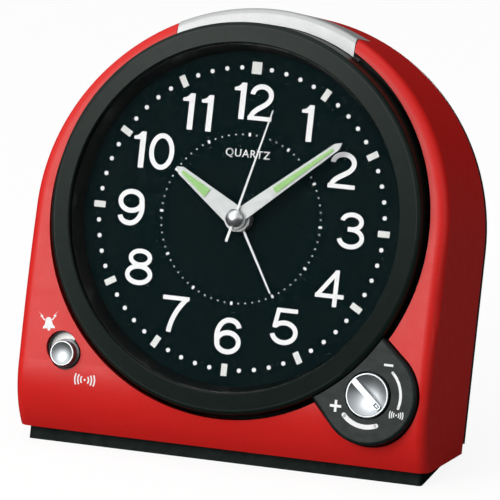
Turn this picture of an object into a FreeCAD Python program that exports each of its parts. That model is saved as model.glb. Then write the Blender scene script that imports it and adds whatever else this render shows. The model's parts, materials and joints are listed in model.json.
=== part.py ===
import FreeCAD, Part
import math
import os
import Sketcher
from FreeCAD import Placement, Rotation, Vector

# Quartz alarm clock with an arched case that leans back on a wedge base.
#
# Case frame, used for every sketch: origin at the centre of the dial's printed face,
# +X to the viewer's right, +Y into the clock, +Z up along the dial, in millimetres.
# Part frame, used for the files: +Z up, front towards -Y, origin at the centre of the
# base's footprint. in_case() leans a piece back and lifts it from one into the other.

DIMENSIONS = [
    # case and its front profile
    ("lean", 15.0, "lean of the dial from the vertical, degrees"),
    ("case_half", 59.3, "half width of the case"),
    ("arch_drop", 1.7, "drop of the arch's centre below the dial centre"),
    ("case_back", 32.4, "depth of the case's rear edge"),
    ("wall", 2.2, "wall of the case shell"),
    ("front_round", 3.0, "rounding between front and sides"),
    ("crown_depth", 6.4, "depth of the front face at crown_height"),
    ("crown_height", 60.0, "height of the front profile's upper end"),
    ("chin_depth", -3.3, "depth of the front face at chin_height, its foremost part"),
    ("chin_height", -44.0, "height where the face turns in towards the base"),
    ("face_bow", 430.0, "radius of the front face's long bow"),
    ("chin_bow", 25.0, "radius of the chin"),
    ("toe_depth", 3.5, "depth of the case's lower front edge"),
    ("toe_height", -62.5, "height of the case's lower front edge"),
    ("heel_rise", 5.6, "rise of the case's underside from toe to rear edge"),
    ("boss_radius", 3.3, "screw boss in the case"),
    ("boss_side", 54.0, "distance of the lower bosses from the middle"),
    ("boss_low", -43.0, "height of the lower bosses"),
    ("boss_top_side", 38.3, "distance of the upper bosses from the middle"),
    ("boss_top", 36.5, "height of the upper bosses"),
    ("boss_front", 11.0, "depth where the bosses start"),
    # base
    ("base_toe_depth", 6.6, "depth of the base's lower front edge"),
    ("base_toe_height", -66.0, "height of the base's lower front edge"),
    ("base_half", 57.0, "half width of the base at its front"),
    ("base_half_rear", 55.2, "half width of the base at the case's rear edge"),
    ("base_corner", 1.0, "plan radius of the base's front corners"),
    ("tongue_half", 31.0, "half width of the base under the battery box"),
    ("tongue_back", 52.0, "depth of the base's rear edge"),
    ("tongue_thick", 1.75, "thickness of the base under the battery box"),
    # dial, crystal and rings
    ("dial_radius", 49.4, "radius of the dial plate"),
    ("dial_thick", 0.5, "thickness of the dial plate"),
    ("view_radius", 45.3, "radius of the visible dial"),
    ("lip_radius", 47.2, "inner radius of the bezel's front edge"),
    ("lip_front", -6.8, "depth of the bezel's inner front edge"),
    ("rim_radius", 53.0, "outer radius of the bezel"),
    ("rim_front", -5.9, "depth of the bezel's outer front edge"),
    ("rim_round", 1.3, "rounding of the bezel's outer edge"),
    ("flange_back", 3.5, "depth of the rear of the bezel's flange"),
    ("skirt_outer", 52.3, "outer radius of the bezel's skirt behind its flange"),
    ("skirt_radius", 51.4, "inner radius of the bezel's skirt"),
    ("ear_radius", 55.3, "outer radius of the skirt's ears"),
    ("ear_front", 8.0, "depth of the ears' front face"),
    ("ear_top", 29.5, "angle of the ears' upper ends from the dial's vertical, degrees"),
    ("ear_bottom", 80.0, "angle of the ears' lower ends from the dial's vertical, degrees"),
    ("skirt_back", 9.0, "depth of the skirt's rear edge"),
    ("face_hole", 54.4, "radius of the round opening in the case"),
    ("crystal_radius", 49.0, "radius of the crystal"),
    ("crystal_seat", -5.2, "depth of the crystal's rear face at its rim"),
    ("crystal_thick", 1.1, "thickness of the crystal"),
    ("crystal_rise", 1.4, "rise of the crystal's middle above its rim"),
    ("frame_back", 2.2, "depth of the inner frame's rear face"),
    ("frame_hole", 3.65, "radius of the centre hole in dial and inner frame"),
    ("gap", 0.2, "ordinary gap between neighbouring mouldings"),
    ("running", 0.04, "radial clearance of a turning shaft"),
    ("window_half", 2.0, "half height of a light window"),
    # snooze bar
    ("bar_half", 25.6, "half width of the snooze bar"),
    ("bar_back", 16.4, "depth of the snooze bar's rear edge"),
    ("bar_inner", 53.2, "radius of the bar's underside about the dial centre"),
    ("bar_travel", 0.8, "travel of the snooze bar"),
    ("tact_top", 49.7, "height of the snooze switch's button"),
    # volume panel and knob
    ("panel_reach", 61.0, "distance of the volume knob from the dial centre"),
    ("panel_radius", 13.5, "radius of the volume panel's round end"),
    ("panel_neck", 12.9, "half width of the panel where it meets the bezel"),
    ("panel_front", -5.0, "depth of the panel's front face"),
    ("panel_back", 1.5, "depth of the panel's rear edge"),
    ("panel_wall", 1.6, "wall of the panel"),
    ("panel_round", 1.0, "rounding of the panel's front edge"),
    ("well_radius", 6.5, "radius of the well that the volume knob sits in"),
    ("well_floor", -3.0, "depth of the well's floor"),
    ("knob_radius", 6.0, "radius of the volume knob"),
    ("knob_front", -5.9, "depth of the volume knob's rim"),
    ("shaft_radius", 2.0, "radius of the volume shaft"),
    # alarm slider
    ("slide_side", 45.0, "distance of the alarm slider from the middle"),
    ("slide_height", -41.5, "height of the alarm slider when on"),
    ("slide_angle", 39.0, "angle of the slider's travel from the dial's vertical, degrees"),
    ("slide_travel", 2.0, "travel of the alarm slider"),
    ("slot_radius", 4.5, "radius of the slot's ends"),
    ("slot_floor", -0.7, "depth of the slot's floor"),
    ("collar_front", -2.3, "depth of the front of the collar that lines the slot"),
    ("collar_wall", 0.4, "reach of that collar into the slot"),
    ("button_radius", 3.45, "radius of the slider's button"),
    ("button_front", -6.0, "depth of the slider's front"),
    ("stem_radius", 1.0, "radius of the slider's stem"),
    # movement
    ("move_half", 27.0, "half width of the movement"),
    ("move_tall", 28.0, "half height of the movement"),
    ("move_back", 19.5, "depth of the movement's rear face"),
    ("plate_thick", 1.4, "thickness of the movement's front plate"),
    ("mid_front", 9.3, "depth of the bridge's front face"),
    ("mid_thick", 0.5, "thickness of the bridge"),
    ("cover_wall", 1.2, "wall of the movement's cover"),
    ("arbor", 0.5, "radius of the train's arbors"),
    ("set_shaft", 1.2, "radius of the setting shafts"),
    ("set_back", 41.0, "depth of the setting shafts' rear ends"),
    ("set_knob", 5.6, "radius of the setting knobs"),
    ("third_up", 10.2, "distance of the third wheel above the centre"),
    ("fifth_down", 9.0, "distance of the fifth wheel below the centre"),
    ("rotor_down", 16.0, "distance of the rotor below the centre"),
    ("set_reach", 10.5, "distance of the setting shafts from the centre"),
    ("set_angle", 120.0, "angle of the setting shafts from the dial's vertical, degrees"),
    ("minute_tube", 1.15, "outer radius of the minute tube"),
    ("hour_tube", 1.8, "outer radius of the hour tube"),
    ("alarm_tube", 2.5, "outer radius of the alarm tube"),
    ("coil_down", 23.5, "distance of the coil below the centre"),
    ("coil_depth", 15.5, "depth of the coil's axis and the stator's middle"),
    # hands
    ("hour_length", 22.6, "length of the hour hand"),
    ("minute_length", 36.2, "length of the minute hand"),
    ("second_length", 31.0, "length of the second hand"),
    ("alarm_length", 22.4, "length of the alarm hand"),
    ("hour_angle", 302.9, "rest angle of the hour hand, degrees clockwise from twelve"),
    ("minute_angle", 50.4, "rest angle of the minute hand"),
    ("second_angle", 14.3, "rest angle of the second hand"),
    ("alarm_angle", 149.5, "rest angle of the alarm hand"),
    ("hand_thick", 0.3, "thickness of the hands"),
    # rear: cover, battery box, speaker
    ("cover_back", 34.7, "depth of the back cover's rear face"),
    ("cover_inset", 0.2, "inset of the back cover from the case's outline"),
    ("rim_wall", 1.5, "wall of the rim that plugs the cover into the case"),
    ("rim_depth", 3.0, "depth of that rim"),
    ("box_half", 32.0, "half width of the battery box"),
    ("box_back", 52.5, "depth of the battery box's rear face"),
    ("box_top", -16.5, "height of the battery box's top"),
    ("bay_half", 28.0, "half length of the battery bay"),
    ("bay_low", -49.2, "height of the bay's floor"),
    ("bay_high", -18.9, "height of the bay's ceiling"),
    ("bay_front", 36.0, "depth of the bay's bottom"),
    ("door_thick", 2.0, "thickness of the battery door"),
    ("door_lap", 1.0, "overlap of the door over the bay"),
    ("door_rail", 0.5, "reach of the door's edges into the box's grooves"),
    ("cell_radius", 7.2, "radius of an AA cell"),
    ("cell_length", 50.2, "length of an AA cell"),
    ("cell_depth", 43.2, "depth of the cells' axes"),
    ("contact_thick", 0.4, "thickness of a battery contact"),
    ("speaker_radius", 18.0, "radius of the speaker's flange"),
    ("speaker_up", 27.0, "height of the speaker's axis"),
]

doc = FreeCAD.newDocument("alarm_clock")
sheet = doc.addObject("Spreadsheet::Sheet", "dims")
PIECES = []


class Size:
    """A number from the sheet, kept together with the expression that gives it."""

    def __init__(self, value, text):
        self.value = value
        self.text = text

    def join(self, other, sign, value):
        return Size(value, "(" + self.text + " " + sign + " " + other.text + ")")

    def __add__(self, other):
        other = size(other)
        return self.join(other, "+", self.value + other.value)

    def __sub__(self, other):
        other = size(other)
        return self.join(other, "-", self.value - other.value)

    def __mul__(self, other):
        other = size(other)
        return self.join(other, "*", self.value * other.value)

    def __truediv__(self, other):
        other = size(other)
        return self.join(other, "/", self.value / other.value)

    def __neg__(self):
        return Size(-self.value, "(0 - " + self.text + ")")

    __radd__ = __add__
    __rmul__ = __mul__

    def __rsub__(self, other):
        return size(other) - self


def size(number):
    """A Size for a plain number, or the Size itself."""
    if isinstance(number, Size):
        return number
    return Size(float(number), "(" + repr(float(number)) + ")")


def leg(hypotenuse, side):
    """The other short side of a right triangle."""
    long_side = size(hypotenuse)
    short_side = size(side)
    value = math.sqrt(long_side.value ** 2 - short_side.value ** 2)
    return Size(value, "sqrt(" + long_side.text + "^2 - " + short_side.text + "^2)")


def bow(reach, rise):
    """Radius of the arc that rises by rise from the axis out to reach."""
    return (size(reach) * reach + size(rise) * rise) / (size(rise) * 2)


class Dimensions:
    """Every cell of the sheet as an attribute."""


def fill_sheet():
    cells = Dimensions()
    for row, (alias, value, note) in enumerate(DIMENSIONS, start=1):
        sheet.set("A" + str(row), alias)
        sheet.set("B" + str(row), str(value))
        sheet.set("C" + str(row), note)
        sheet.setAlias("B" + str(row), alias)
        setattr(cells, alias, Size(value, "dims." + alias))
    doc.recompute()
    return cells


d = fill_sheet()
LEAN = Rotation(Vector(1, 0, 0), -d.lean.value)
UPRIGHT = Rotation()
DEPTH_AXIS = Vector(0, 1, 0)


def ground_height(depth):
    """Height in the case frame of the table's plane at a depth."""
    slope = math.tan(math.radians(d.lean.value))
    rise = (size(depth) - d.base_toe_depth) * Size(slope, "tan(dims.lean)")
    return d.base_toe_height + rise


def base_origin():
    """The base footprint's centre, leant back, as an offset from the dial centre."""
    toe = Vector(0, d.base_toe_depth.value, d.base_toe_height.value)
    heel = Vector(0, d.tongue_back.value, ground_height(d.tongue_back).value)
    return (LEAN.multVec(toe) + LEAN.multVec(heel)) * 0.5


ORIGIN = base_origin()


def in_case(side=0, depth=0, height=0, turn=0, tip=UPRIGHT):
    """Placement of a piece modelled about a point of the case frame."""
    spin = Rotation(DEPTH_AXIS, size(turn).value)
    at = Vector(size(side).value, size(depth).value, size(height).value)
    return Placement(-ORIGIN, LEAN) * Placement(at, spin * tip)


def keep(piece, node, where=None):
    """Register an object as a sub-part: its Label names its file."""
    piece.Label = node
    piece.Placement = in_case() if where is None else where
    PIECES.append(piece)
    return piece


def new_body(name):
    return doc.addObject("PartDesign::Body", name)


def sketch_on(body, role, level=0):
    """A sketch on one of the body's origin planes, moved along its normal by level."""
    sketch = body.newObject("Sketcher::SketchObject", body.Name + "_sketch")
    planes = [item for item in body.Origin.OriginFeatures if item.Role == role]
    sketch.AttachmentSupport = [(planes[0], "")]
    sketch.MapMode = "FlatFace"
    sketch.setExpression("AttachmentOffset.Base.z", size(level).text)
    return sketch


def arc_between(start, end, radius):
    """The short arc from start to end: anticlockwise for a positive radius."""
    chord = end - start
    reach = abs(radius)
    lift = math.sqrt(max(reach ** 2 - (chord.Length / 2) ** 2, 0.0))
    left = Vector(-chord.y, chord.x, 0).normalize()
    centre = (start + end) * 0.5 + left * math.copysign(lift, radius)
    first, last = (start, end) if radius > 0 else (end, start)
    circle = Part.Circle(centre, Vector(0, 0, 1), reach)
    return Part.ArcOfCircle(circle, circle.parameter(first), circle.parameter(last))


def draw(sketch, corners):
    """A closed outline. A corner is (x, y), or (x, y, radius) where an arc arrives at it."""
    first = sketch.GeometryCount
    points = [Vector(size(c[0]).value, size(c[1]).value, 0) for c in corners]
    shapes = []
    ends = []
    for index in range(len(corners)):
        after = (index + 1) % len(corners)
        if len(corners[after]) == 3:
            radius = size(corners[after][2]).value
            shapes.append(arc_between(points[index], points[after], radius))
            ends.append((1, 2) if radius > 0 else (2, 1))
        else:
            shapes.append(Part.LineSegment(points[index], points[after]))
            ends.append((1, 2))
    sketch.addGeometry(shapes, False)
    rules = []
    links = []
    for index, corner in enumerate(corners):
        after = (index + 1) % len(corners)
        here = first + index
        rules.append(Sketcher.Constraint("Coincident", here, ends[index][1], first + after, ends[after][0]))
        for kind, coordinate in (("DistanceX", corner[0]), ("DistanceY", corner[1])):
            links.append((len(rules), size(coordinate).text))
            value = size(coordinate).value
            rules.append(Sketcher.Constraint(kind, -1, 1, here, ends[index][0], value))
        if len(corners[after]) == 3:
            radius = size(corners[after][2])
            sign = "1" if radius.value > 0 else "-1"
            links.append((len(rules), sign + " * " + radius.text))
            rules.append(Sketcher.Constraint("Radius", here, abs(radius.value)))
    bind(sketch, rules, links)


def bind(sketch, rules, links):
    """Add constraints and tie the listed ones to the sheet."""
    start = sketch.ConstraintCount
    sketch.addConstraint(rules)
    for offset, text in links:
        sketch.setExpression("Constraints[" + str(start + offset) + "]", text)


def ring(sketch, x, y, radius):
    """A circle about a point of the sketch."""
    item = sketch.GeometryCount
    centre = Vector(size(x).value, size(y).value, 0)
    sketch.addGeometry(Part.Circle(centre, Vector(0, 0, 1), size(radius).value), False)
    rules = [
        Sketcher.Constraint("DistanceX", -1, 1, item, 3, centre.x),
        Sketcher.Constraint("DistanceY", -1, 1, item, 3, centre.y),
        Sketcher.Constraint("Radius", item, size(radius).value),
    ]
    bind(sketch, rules, [(0, size(x).text), (1, size(y).text), (2, size(radius).text)])


def rectangle(sketch, left, right, low, high):
    draw(sketch, [(left, low), (right, low), (right, high), (left, high)])


def pad(body, sketch, length, backwards=False, both_ways=False):
    feature = body.newObject("PartDesign::Pad", body.Name + "_pad")
    feature.Profile = sketch
    feature.Midplane = both_ways
    feature.Reversed = backwards
    feature.setExpression("Length", size(length).text)
    return feature


def pocket(body, sketch, length=None, backwards=False, both_ways=False):
    """Cut a sketch out of a body, through everything if no length is given."""
    doc.recompute()
    before = body.Shape.Volume
    feature = body.newObject("PartDesign::Pocket", body.Name + "_pocket")
    feature.Profile = sketch
    feature.Midplane = both_ways
    feature.Reversed = backwards
    if length is None:
        feature.Type = "ThroughAll"
    else:
        feature.setExpression("Length", size(length).text)
    doc.recompute()
    if body.Shape.Volume > before - 0.001:
        raise RuntimeError(body.Name + ": a pocket cuts nothing")
    return feature


def add_depth(body, shapes, front, back):
    """Pad outlines drawn in the dial's plane between two depths."""
    sketch = sketch_on(body, "XZ_Plane", -size(front))
    for shape in shapes:
        shape(sketch)
    return pad(body, sketch, size(back) - front, backwards=True)


def cut_depth(body, shapes, front, back):
    """Cut outlines drawn in the dial's plane between two depths."""
    sketch = sketch_on(body, "XZ_Plane", -size(front))
    for shape in shapes:
        shape(sketch)
    return pocket(body, sketch, size(back) - front)


def disc(x, z, radius):
    return lambda sketch: ring(sketch, x, z, radius)


def area(corners):
    return lambda sketch: draw(sketch, corners)


def box(left, right, low, high):
    return lambda sketch: rectangle(sketch, left, right, low, high)


def turned(name, profile):
    """A body of revolution about the depth axis, from (radius, depth) corners."""
    body = new_body(name)
    sketch = sketch_on(body, "XY_Plane")
    draw(sketch, profile)
    feature = body.newObject("PartDesign::Revolution", name + "_turn")
    feature.Profile = sketch
    feature.ReferenceAxis = (sketch, ["V_Axis"])
    feature.Angle = 360
    return body


def tube(name, inner, outer, front, back):
    if size(inner).value == 0:
        return turned(name, [(0, front), (outer, front), (outer, back), (0, back)])
    return turned(name, [(inner, front), (outer, front), (outer, back), (inner, back)])


def flat(name, shapes, front, back):
    """A flat piece parallel to the dial."""
    body = new_body(name)
    add_depth(body, shapes, front, back)
    return body


def combine(kind, name, first, second):
    """A boolean of two objects: Part::Cut, Part::Common or Part::Fuse."""
    result = doc.addObject(kind, name)
    result.Base = first
    result.Tool = second
    return result


def edge_names(shape, wanted):
    return ["Edge" + str(i) for i, edge in enumerate(shape.Edges, start=1) if wanted(edge)]


def round_edges(body, wanted, radius):
    """Fillet the edges of a body's tip that a test picks."""
    doc.recompute()
    base = body.Tip
    names = edge_names(base.Shape, wanted)
    if not names:
        raise RuntimeError(body.Name + ": no edges to round")
    feature = body.newObject("PartDesign::Fillet", body.Name + "_round")
    feature.Base = (base, names)
    feature.setExpression("Radius", size(radius).text)
    doc.recompute()
    return feature


def middle(edge):
    """The point halfway along an edge."""
    return edge.valueAt((edge.FirstParameter + edge.LastParameter) / 2)


def made(node, shape, where=None):
    """A sub-part whose shape comes from Part's own functions."""
    feature = doc.addObject("Part::Feature", node)
    feature.Shape = shape
    return keep(feature, node, where)


# ---------------------------------------------------------------- case, base and cover


def arch(inset=0, low=-80):
    """The case's outline: straight sides and a round arch, set in by inset."""
    half = d.case_half - inset
    return area([(-half, low), (half, low), (half, -d.arch_drop), (0, half - d.arch_drop, half),
                 (-half, -d.arch_drop, half)])


def face_profile(shift=0):
    """Corners of the front face in (depth, height), from crown to toe."""
    return [
        (d.crown_depth + shift, d.crown_height),
        (d.chin_depth + shift, d.chin_height, d.face_bow),
        (d.toe_depth + shift, d.toe_height + shift, d.chin_bow),
    ]


def trim_to_face(body, shift=0):
    """Cut away what lies in front of the curved face and below the underside."""
    sketch = sketch_on(body, "YZ_Plane")
    low = -90
    front = -20
    far = d.case_back + 20
    slope = d.heel_rise / (d.case_back - d.toe_depth)
    rear_height = d.toe_height + slope * (far - d.toe_depth)
    corners = [(front, d.crown_height + 10), (d.crown_depth + shift, d.crown_height + 10)]
    corners += face_profile(shift)
    corners += [(far, rear_height + shift), (far, low), (front, low)]
    draw(sketch, corners)
    return pocket(body, sketch, 200, both_ways=True)


def case_block(name, back, inset=0):
    """The case's solid form, or its hollow when set in by the wall."""
    body = new_body(name)
    add_depth(body, [arch(inset)], -12, back)
    trim_to_face(body, inset)
    return body


def on_front_edge(edge):
    """True for the edges between the curved front and the sides or arch."""
    point = middle(edge)
    half = d.case_half.value
    if point.z > -d.arch_drop.value:
        outside = math.hypot(point.x, point.z + d.arch_drop.value) > half - 0.01
    else:
        outside = abs(point.x) > half - 0.01
    flat_ends = abs(edge.Vertexes[0].Z - edge.Vertexes[-1].Z) > 1 or len(edge.Vertexes) < 2
    return outside and point.y < 10 and flat_ends


def panel_outline(grow=0):
    """The volume panel in its own frame: x outwards from the dial centre, z across."""
    neck = d.panel_neck + grow
    radius = d.panel_radius + grow
    inner = d.rim_radius + 0.25
    start = leg(inner, neck)
    return [
        (start, -neck, -inner),
        (d.panel_reach, -radius),
        (d.panel_reach + radius, 0, radius),
        (d.panel_reach, radius, radius),
        (start, neck),
        (inner, 0, -inner),
    ]


def slot_outline(radius):
    """The alarm slider's slot in its own frame, z along the travel."""
    return [(radius, 0, radius), (radius, d.slide_travel), (0, d.slide_travel + radius, radius),
            (-radius, d.slide_travel, radius), (-radius, 0), (0, -radius, radius)]


def corner_discs(radius):
    """Circles at the four screws that hold the back cover."""
    places = ((d.boss_side, d.boss_low), (d.boss_top_side, d.boss_top))
    return [disc(side * x, z, radius) for side in (-1, 1) for x, z in places]


def build_case():
    block = case_block("case_block", d.case_back)
    round_edges(block, on_front_edge, d.front_round)
    hollow = case_block("case_hollow", d.case_back + 5, d.wall)
    shell = combine("Part::Cut", "case_walls", block, hollow)
    bosses = flat("case_bosses", corner_discs(d.boss_radius), d.boss_front, d.case_back - 0.2)
    inside = combine("Part::Common", "case_bosses_trimmed", bosses,
                     case_block("case_trim", d.case_back + 5, d.wall / 2))
    shell = combine("Part::Fuse", "case_with_bosses", shell, inside)
    opening = new_body("bar_opening")
    sketch = sketch_on(opening, "XY_Plane", 20)
    side = d.bar_half + d.gap
    rectangle(sketch, -side, side, -8, d.bar_back + d.gap)
    pad(opening, sketch, 60)
    window = flat("panel_window", [area(panel_outline(0.45))], -12, 4)
    window.Placement = Placement(Vector(), Rotation(DEPTH_AXIS, 45))
    slot = flat("slider_window", [area(slot_outline(d.slot_radius))], -12, 4)
    slot.Placement = slide_frame()
    cutters = [
        flat("case_pilot_holes", corner_discs(1.1), d.boss_front + 8, d.case_back + 1),
        flat("face_opening", [disc(0, 0, d.face_hole)], -12, 10),
        opening,
        window,
        slot,
    ]
    for number, cutter in enumerate(cutters):
        shell = combine("Part::Cut", "case_cut_" + str(number), shell, cutter)
    keep(shell, "case_shell")


def slide_frame():
    """Placement of the alarm slider's own frame within the case."""
    at = Vector(-d.slide_side.value, 0, d.slide_height.value)
    return Placement(at, Rotation(DEPTH_AXIS, -d.slide_angle.value))


def build_base():
    """Wedge under the case, with a thin tongue that runs on under the battery box."""
    profile = new_body("base_profile")
    sketch = sketch_on(profile, "YZ_Plane")
    slope = d.heel_rise / (d.case_back - d.toe_depth)
    top_front = d.toe_height + slope * (d.base_toe_depth - d.toe_depth)
    heel = ground_height(d.tongue_back)
    draw(sketch, [
        (d.base_toe_depth, d.base_toe_height),
        (d.tongue_back, heel),
        (d.tongue_back, heel + d.tongue_thick),
        (d.case_back, ground_height(d.case_back) + d.tongue_thick),
        (d.base_toe_depth, top_front),
    ])
    pad(profile, sketch, 2 * d.case_half, both_ways=True)
    plan = new_body("base_plan")
    outline = sketch_on(plan, "XY_Plane", -90)
    corner = d.base_corner
    front = d.base_toe_depth
    draw(outline, [
        (-d.base_half + corner, front, corner),
        (d.base_half - corner, front),
        (d.base_half, front + corner, corner),
        (d.base_half_rear, d.case_back),
        (d.tongue_half, d.case_back + 2),
        (d.tongue_half, d.tongue_back),
        (-d.tongue_half, d.tongue_back),
        (-d.tongue_half, d.case_back + 2),
        (-d.base_half_rear, d.case_back),
        (-d.base_half, front + corner),
    ])
    pad(plan, outline, 60)
    keep(combine("Part::Common", "base_common", profile, plan), "base_plinth")


def build_back_cover():
    body = new_body("cover_body")
    add_depth(body, [arch(d.cover_inset, -54.2)], d.case_back + 0.05, d.cover_back)
    rim_out = d.wall + 0.3
    add_depth(body, [arch(rim_out, -51.5)], d.case_back - d.rim_depth, d.case_back + 0.1)
    cut_depth(body, [arch(rim_out + d.rim_wall, -50.0)], d.case_back - d.rim_depth - 1, d.case_back + 0.05)
    cut_depth(body, corner_discs(d.boss_radius + 0.3), d.case_back - d.rim_depth - 1, d.case_back - 0.15)
    # battery box, its floor parallel to the table
    floor = new_body("box_profile")
    side = sketch_on(floor, "YZ_Plane")
    lift = d.tongue_thick + 0.1
    draw(side, [
        (d.case_back + 0.5, ground_height(d.case_back + 0.5) + lift),
        (d.box_back, ground_height(d.box_back) + lift),
        (d.box_back, d.box_top),
        (d.case_back + 0.5, d.box_top),
    ])
    pad(floor, side, 2 * d.box_half, both_ways=True)
    round_edges(floor, lambda edge: middle(edge).y > d.case_back.value + 5
                and (abs(middle(edge).x) > 31 or middle(edge).z > -17), 2.4)
    shell = combine("Part::Fuse", "cover_fused", body, floor)
    cuts = new_body("cover_cuts")
    add_depth(cuts, [box(-d.bay_half, d.bay_half, d.bay_low, d.bay_high)], d.bay_front, d.box_back + 5)
    lap = d.door_lap
    seat = d.box_back - d.door_thick - 0.1
    left = -(d.bay_half + lap)
    right = d.box_half + 5
    add_depth(cuts, [box(left, right, d.bay_low - lap, d.bay_high + lap)], seat, d.box_back + 5)
    low = d.bay_low - lap - d.door_rail
    high = d.bay_high + lap + d.door_rail
    add_depth(cuts, [box(left, right, low, high)], seat, d.box_back - d.door_thick / 2)
    shell = combine("Part::Cut", "cover_bay", shell, cuts)
    holes = new_body("cover_holes")
    shapes = corner_discs(1.5)
    shapes += [disc(side * shaft_side(), shaft_height(), d.set_shaft + 0.4) for side in (-1, 1)]
    add_depth(holes, shapes, d.case_back - 6, d.cover_back + 1)
    slots = new_body("cover_slots")
    reach = d.speaker_radius - 4
    rows = []
    for step in (-3, -2, -1, 0, 1, 2, 3):
        level = d.speaker_up + 3.6 * step
        half = leg(reach, 3.6 * step)
        rows.append(box(-half, half, level - 0.8, level + 0.8))
    add_depth(slots, rows, d.case_back - 6, d.cover_back + 1)
    shell = combine("Part::Cut", "cover_drilled", shell, holes)
    keep(combine("Part::Cut", "cover_slotted", shell, slots), "back_cover")


def build_battery_door():
    body = new_body("door_body")
    lap = d.door_lap - 0.15
    front = d.box_back - d.door_thick
    left = -(d.bay_half + lap)
    add_depth(body, [box(left, d.box_half, d.bay_low - lap, d.bay_high + lap)], front, d.box_back)
    low = d.bay_low - lap - d.door_rail
    high = d.bay_high + lap + d.door_rail
    add_depth(body, [box(left, d.box_half, low, high)], front, front + d.door_thick / 2 - 0.1)
    ribs = [box(d.box_half - 8 - 1.6 * i, d.box_half - 7.2 - 1.6 * i, d.bay_low + 9, d.bay_high - 9)
            for i in range(5)]
    add_depth(body, ribs, d.box_back - 0.1, d.box_back + 0.6)
    keep(body, "battery_door")


# ---------------------------------------------------------------- front rings and crystal


def polar(radius, angle, side=1):
    """A point at an angle from the dial's vertical, on the given side."""
    turn = math.radians(angle.value)
    across = size(radius) * Size(math.sin(turn), "sin(" + angle.text + ")")
    upward = size(radius) * Size(math.cos(turn), "cos(" + angle.text + ")")
    return across * side, upward


def bezel_ear(side):
    """Part of a ring behind the case's front wall, which holds the bezel and shuts the gap."""
    root = d.skirt_radius + 0.4
    ends = [polar(root, d.ear_bottom, side), polar(d.ear_radius, d.ear_bottom, side)]
    ends.append((*polar(d.ear_radius, d.ear_top, side), d.ear_radius * side))
    ends.append(polar(root, d.ear_top, side))
    return area([(*ends[0], -root * side)] + ends[1:])


def build_front_rings():
    lip_under = d.crystal_seat - d.crystal_thick
    bezel = turned("bezel_body", [
        (d.lip_radius, lip_under),
        (d.lip_radius, d.lip_front + 0.35),
        (d.lip_radius + 0.35, d.lip_front),
        (d.rim_radius - d.rim_round, d.rim_front),
        (d.rim_radius, d.rim_front + d.rim_round, d.rim_round),
        (d.rim_radius, d.flange_back),
        (d.skirt_outer, d.flange_back),
        (d.skirt_outer, d.skirt_back),
        (d.skirt_radius, d.skirt_back),
        (d.skirt_radius, d.crystal_seat),
        (d.crystal_radius + 0.1, d.crystal_seat),
        (d.crystal_radius + 0.1, lip_under),
    ])
    add_depth(bezel, [bezel_ear(side) for side in (-1, 1)], d.ear_front, d.skirt_back)
    keep(bezel, "bezel_ring")
    surround = turned("surround_body", [
        (d.view_radius, 0),
        (d.lip_radius - 0.3, d.crystal_seat),
        (d.skirt_radius - 0.1, d.crystal_seat),
        (d.skirt_radius - 0.1, d.dial_thick),
        (d.dial_radius + 0.1, d.dial_thick),
        (d.dial_radius + 0.1, 0),
    ])
    half = d.window_half + 0.05
    notch = d.dial_radius - 0.05
    cut_depth(surround, [box(43, notch, -half, half), box(-notch, -43, -half, half)], -3.65, -1.15)
    keep(surround, "dial_surround")
    rim_front = d.crystal_seat - d.crystal_thick
    dome = d.lip_radius - 1.0
    crystal = turned("crystal_body", [
        (0, d.crystal_seat - d.crystal_rise),
        (dome, d.crystal_seat, bow(dome, d.crystal_rise)),
        (d.crystal_radius, d.crystal_seat),
        (d.crystal_radius, rim_front),
        (dome, rim_front),
        (0, rim_front - d.crystal_rise, -bow(dome, d.crystal_rise)),
    ])
    keep(crystal, "crystal")
    keep(tube("dial_body", d.frame_hole, d.dial_radius, 0, d.dial_thick), "dial")
    frame = tube("frame_body", d.frame_hole, d.skirt_radius - 0.1, d.dial_thick, d.frame_back)
    cut_depth(frame, [disc(side * (d.move_half + 2.6), 0, 1.0) for side in (-1, 1)],
              d.dial_thick - 1, d.frame_back + 1)
    keep(frame, "inner_frame")


def build_lights():
    """Two small light windows at nine and three o'clock, each with its diode behind it."""
    inner = d.view_radius + 0.1
    outer = d.dial_radius - 1.4
    half = d.window_half
    panes = [box(inner, outer, -half, half), box(-outer, -inner, -half, half)]
    keep(flat("window_body", panes, -3.6, -1.2), "light_windows")
    near = outer + 0.15
    far = outer + 1.25
    half = d.window_half / 2
    diodes = [box(near, far, -half, half), box(-far, -near, -half, half)]
    keep(flat("diode_body", diodes, -3.3, -1.5), "light_diodes")


def build_snooze_bar():
    """Part of the case's arch, cut free so that it can be pressed down."""
    body = new_body("bar_body")
    half = d.bar_half
    shoulder = leg(d.case_half, half) - d.arch_drop
    add_depth(body, [area([
        (half, leg(d.bar_inner, half), -d.bar_inner),
        (half, shoulder),
        (-half, shoulder, d.case_half),
        (-half, leg(d.bar_inner, half)),
    ])], 0, d.bar_back)
    trim_to_face(body)
    round_edges(body, lambda edge: middle(edge).z > 56.8 and middle(edge).y < 8, d.front_round * 0.6)
    hooks = []
    for side in (-1, 1):
        inner = side * (half - 2.4)
        outer = side * (half + 2.9)
        end = side * half
        foot = [(inner, 44.8), (outer, 44.8), (outer, 46.3), (end, 46.3)]
        hooks.append(area(foot + [(end, 49.5), (inner, 50.2)]))
    plunger = box(-2, 2, d.tact_top + d.bar_travel + 0.1, 55.5)
    add_depth(body, hooks + [plunger], 11, 15)
    keep(body, "snooze_bar")


# ---------------------------------------------------------------- controls on the front


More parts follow.
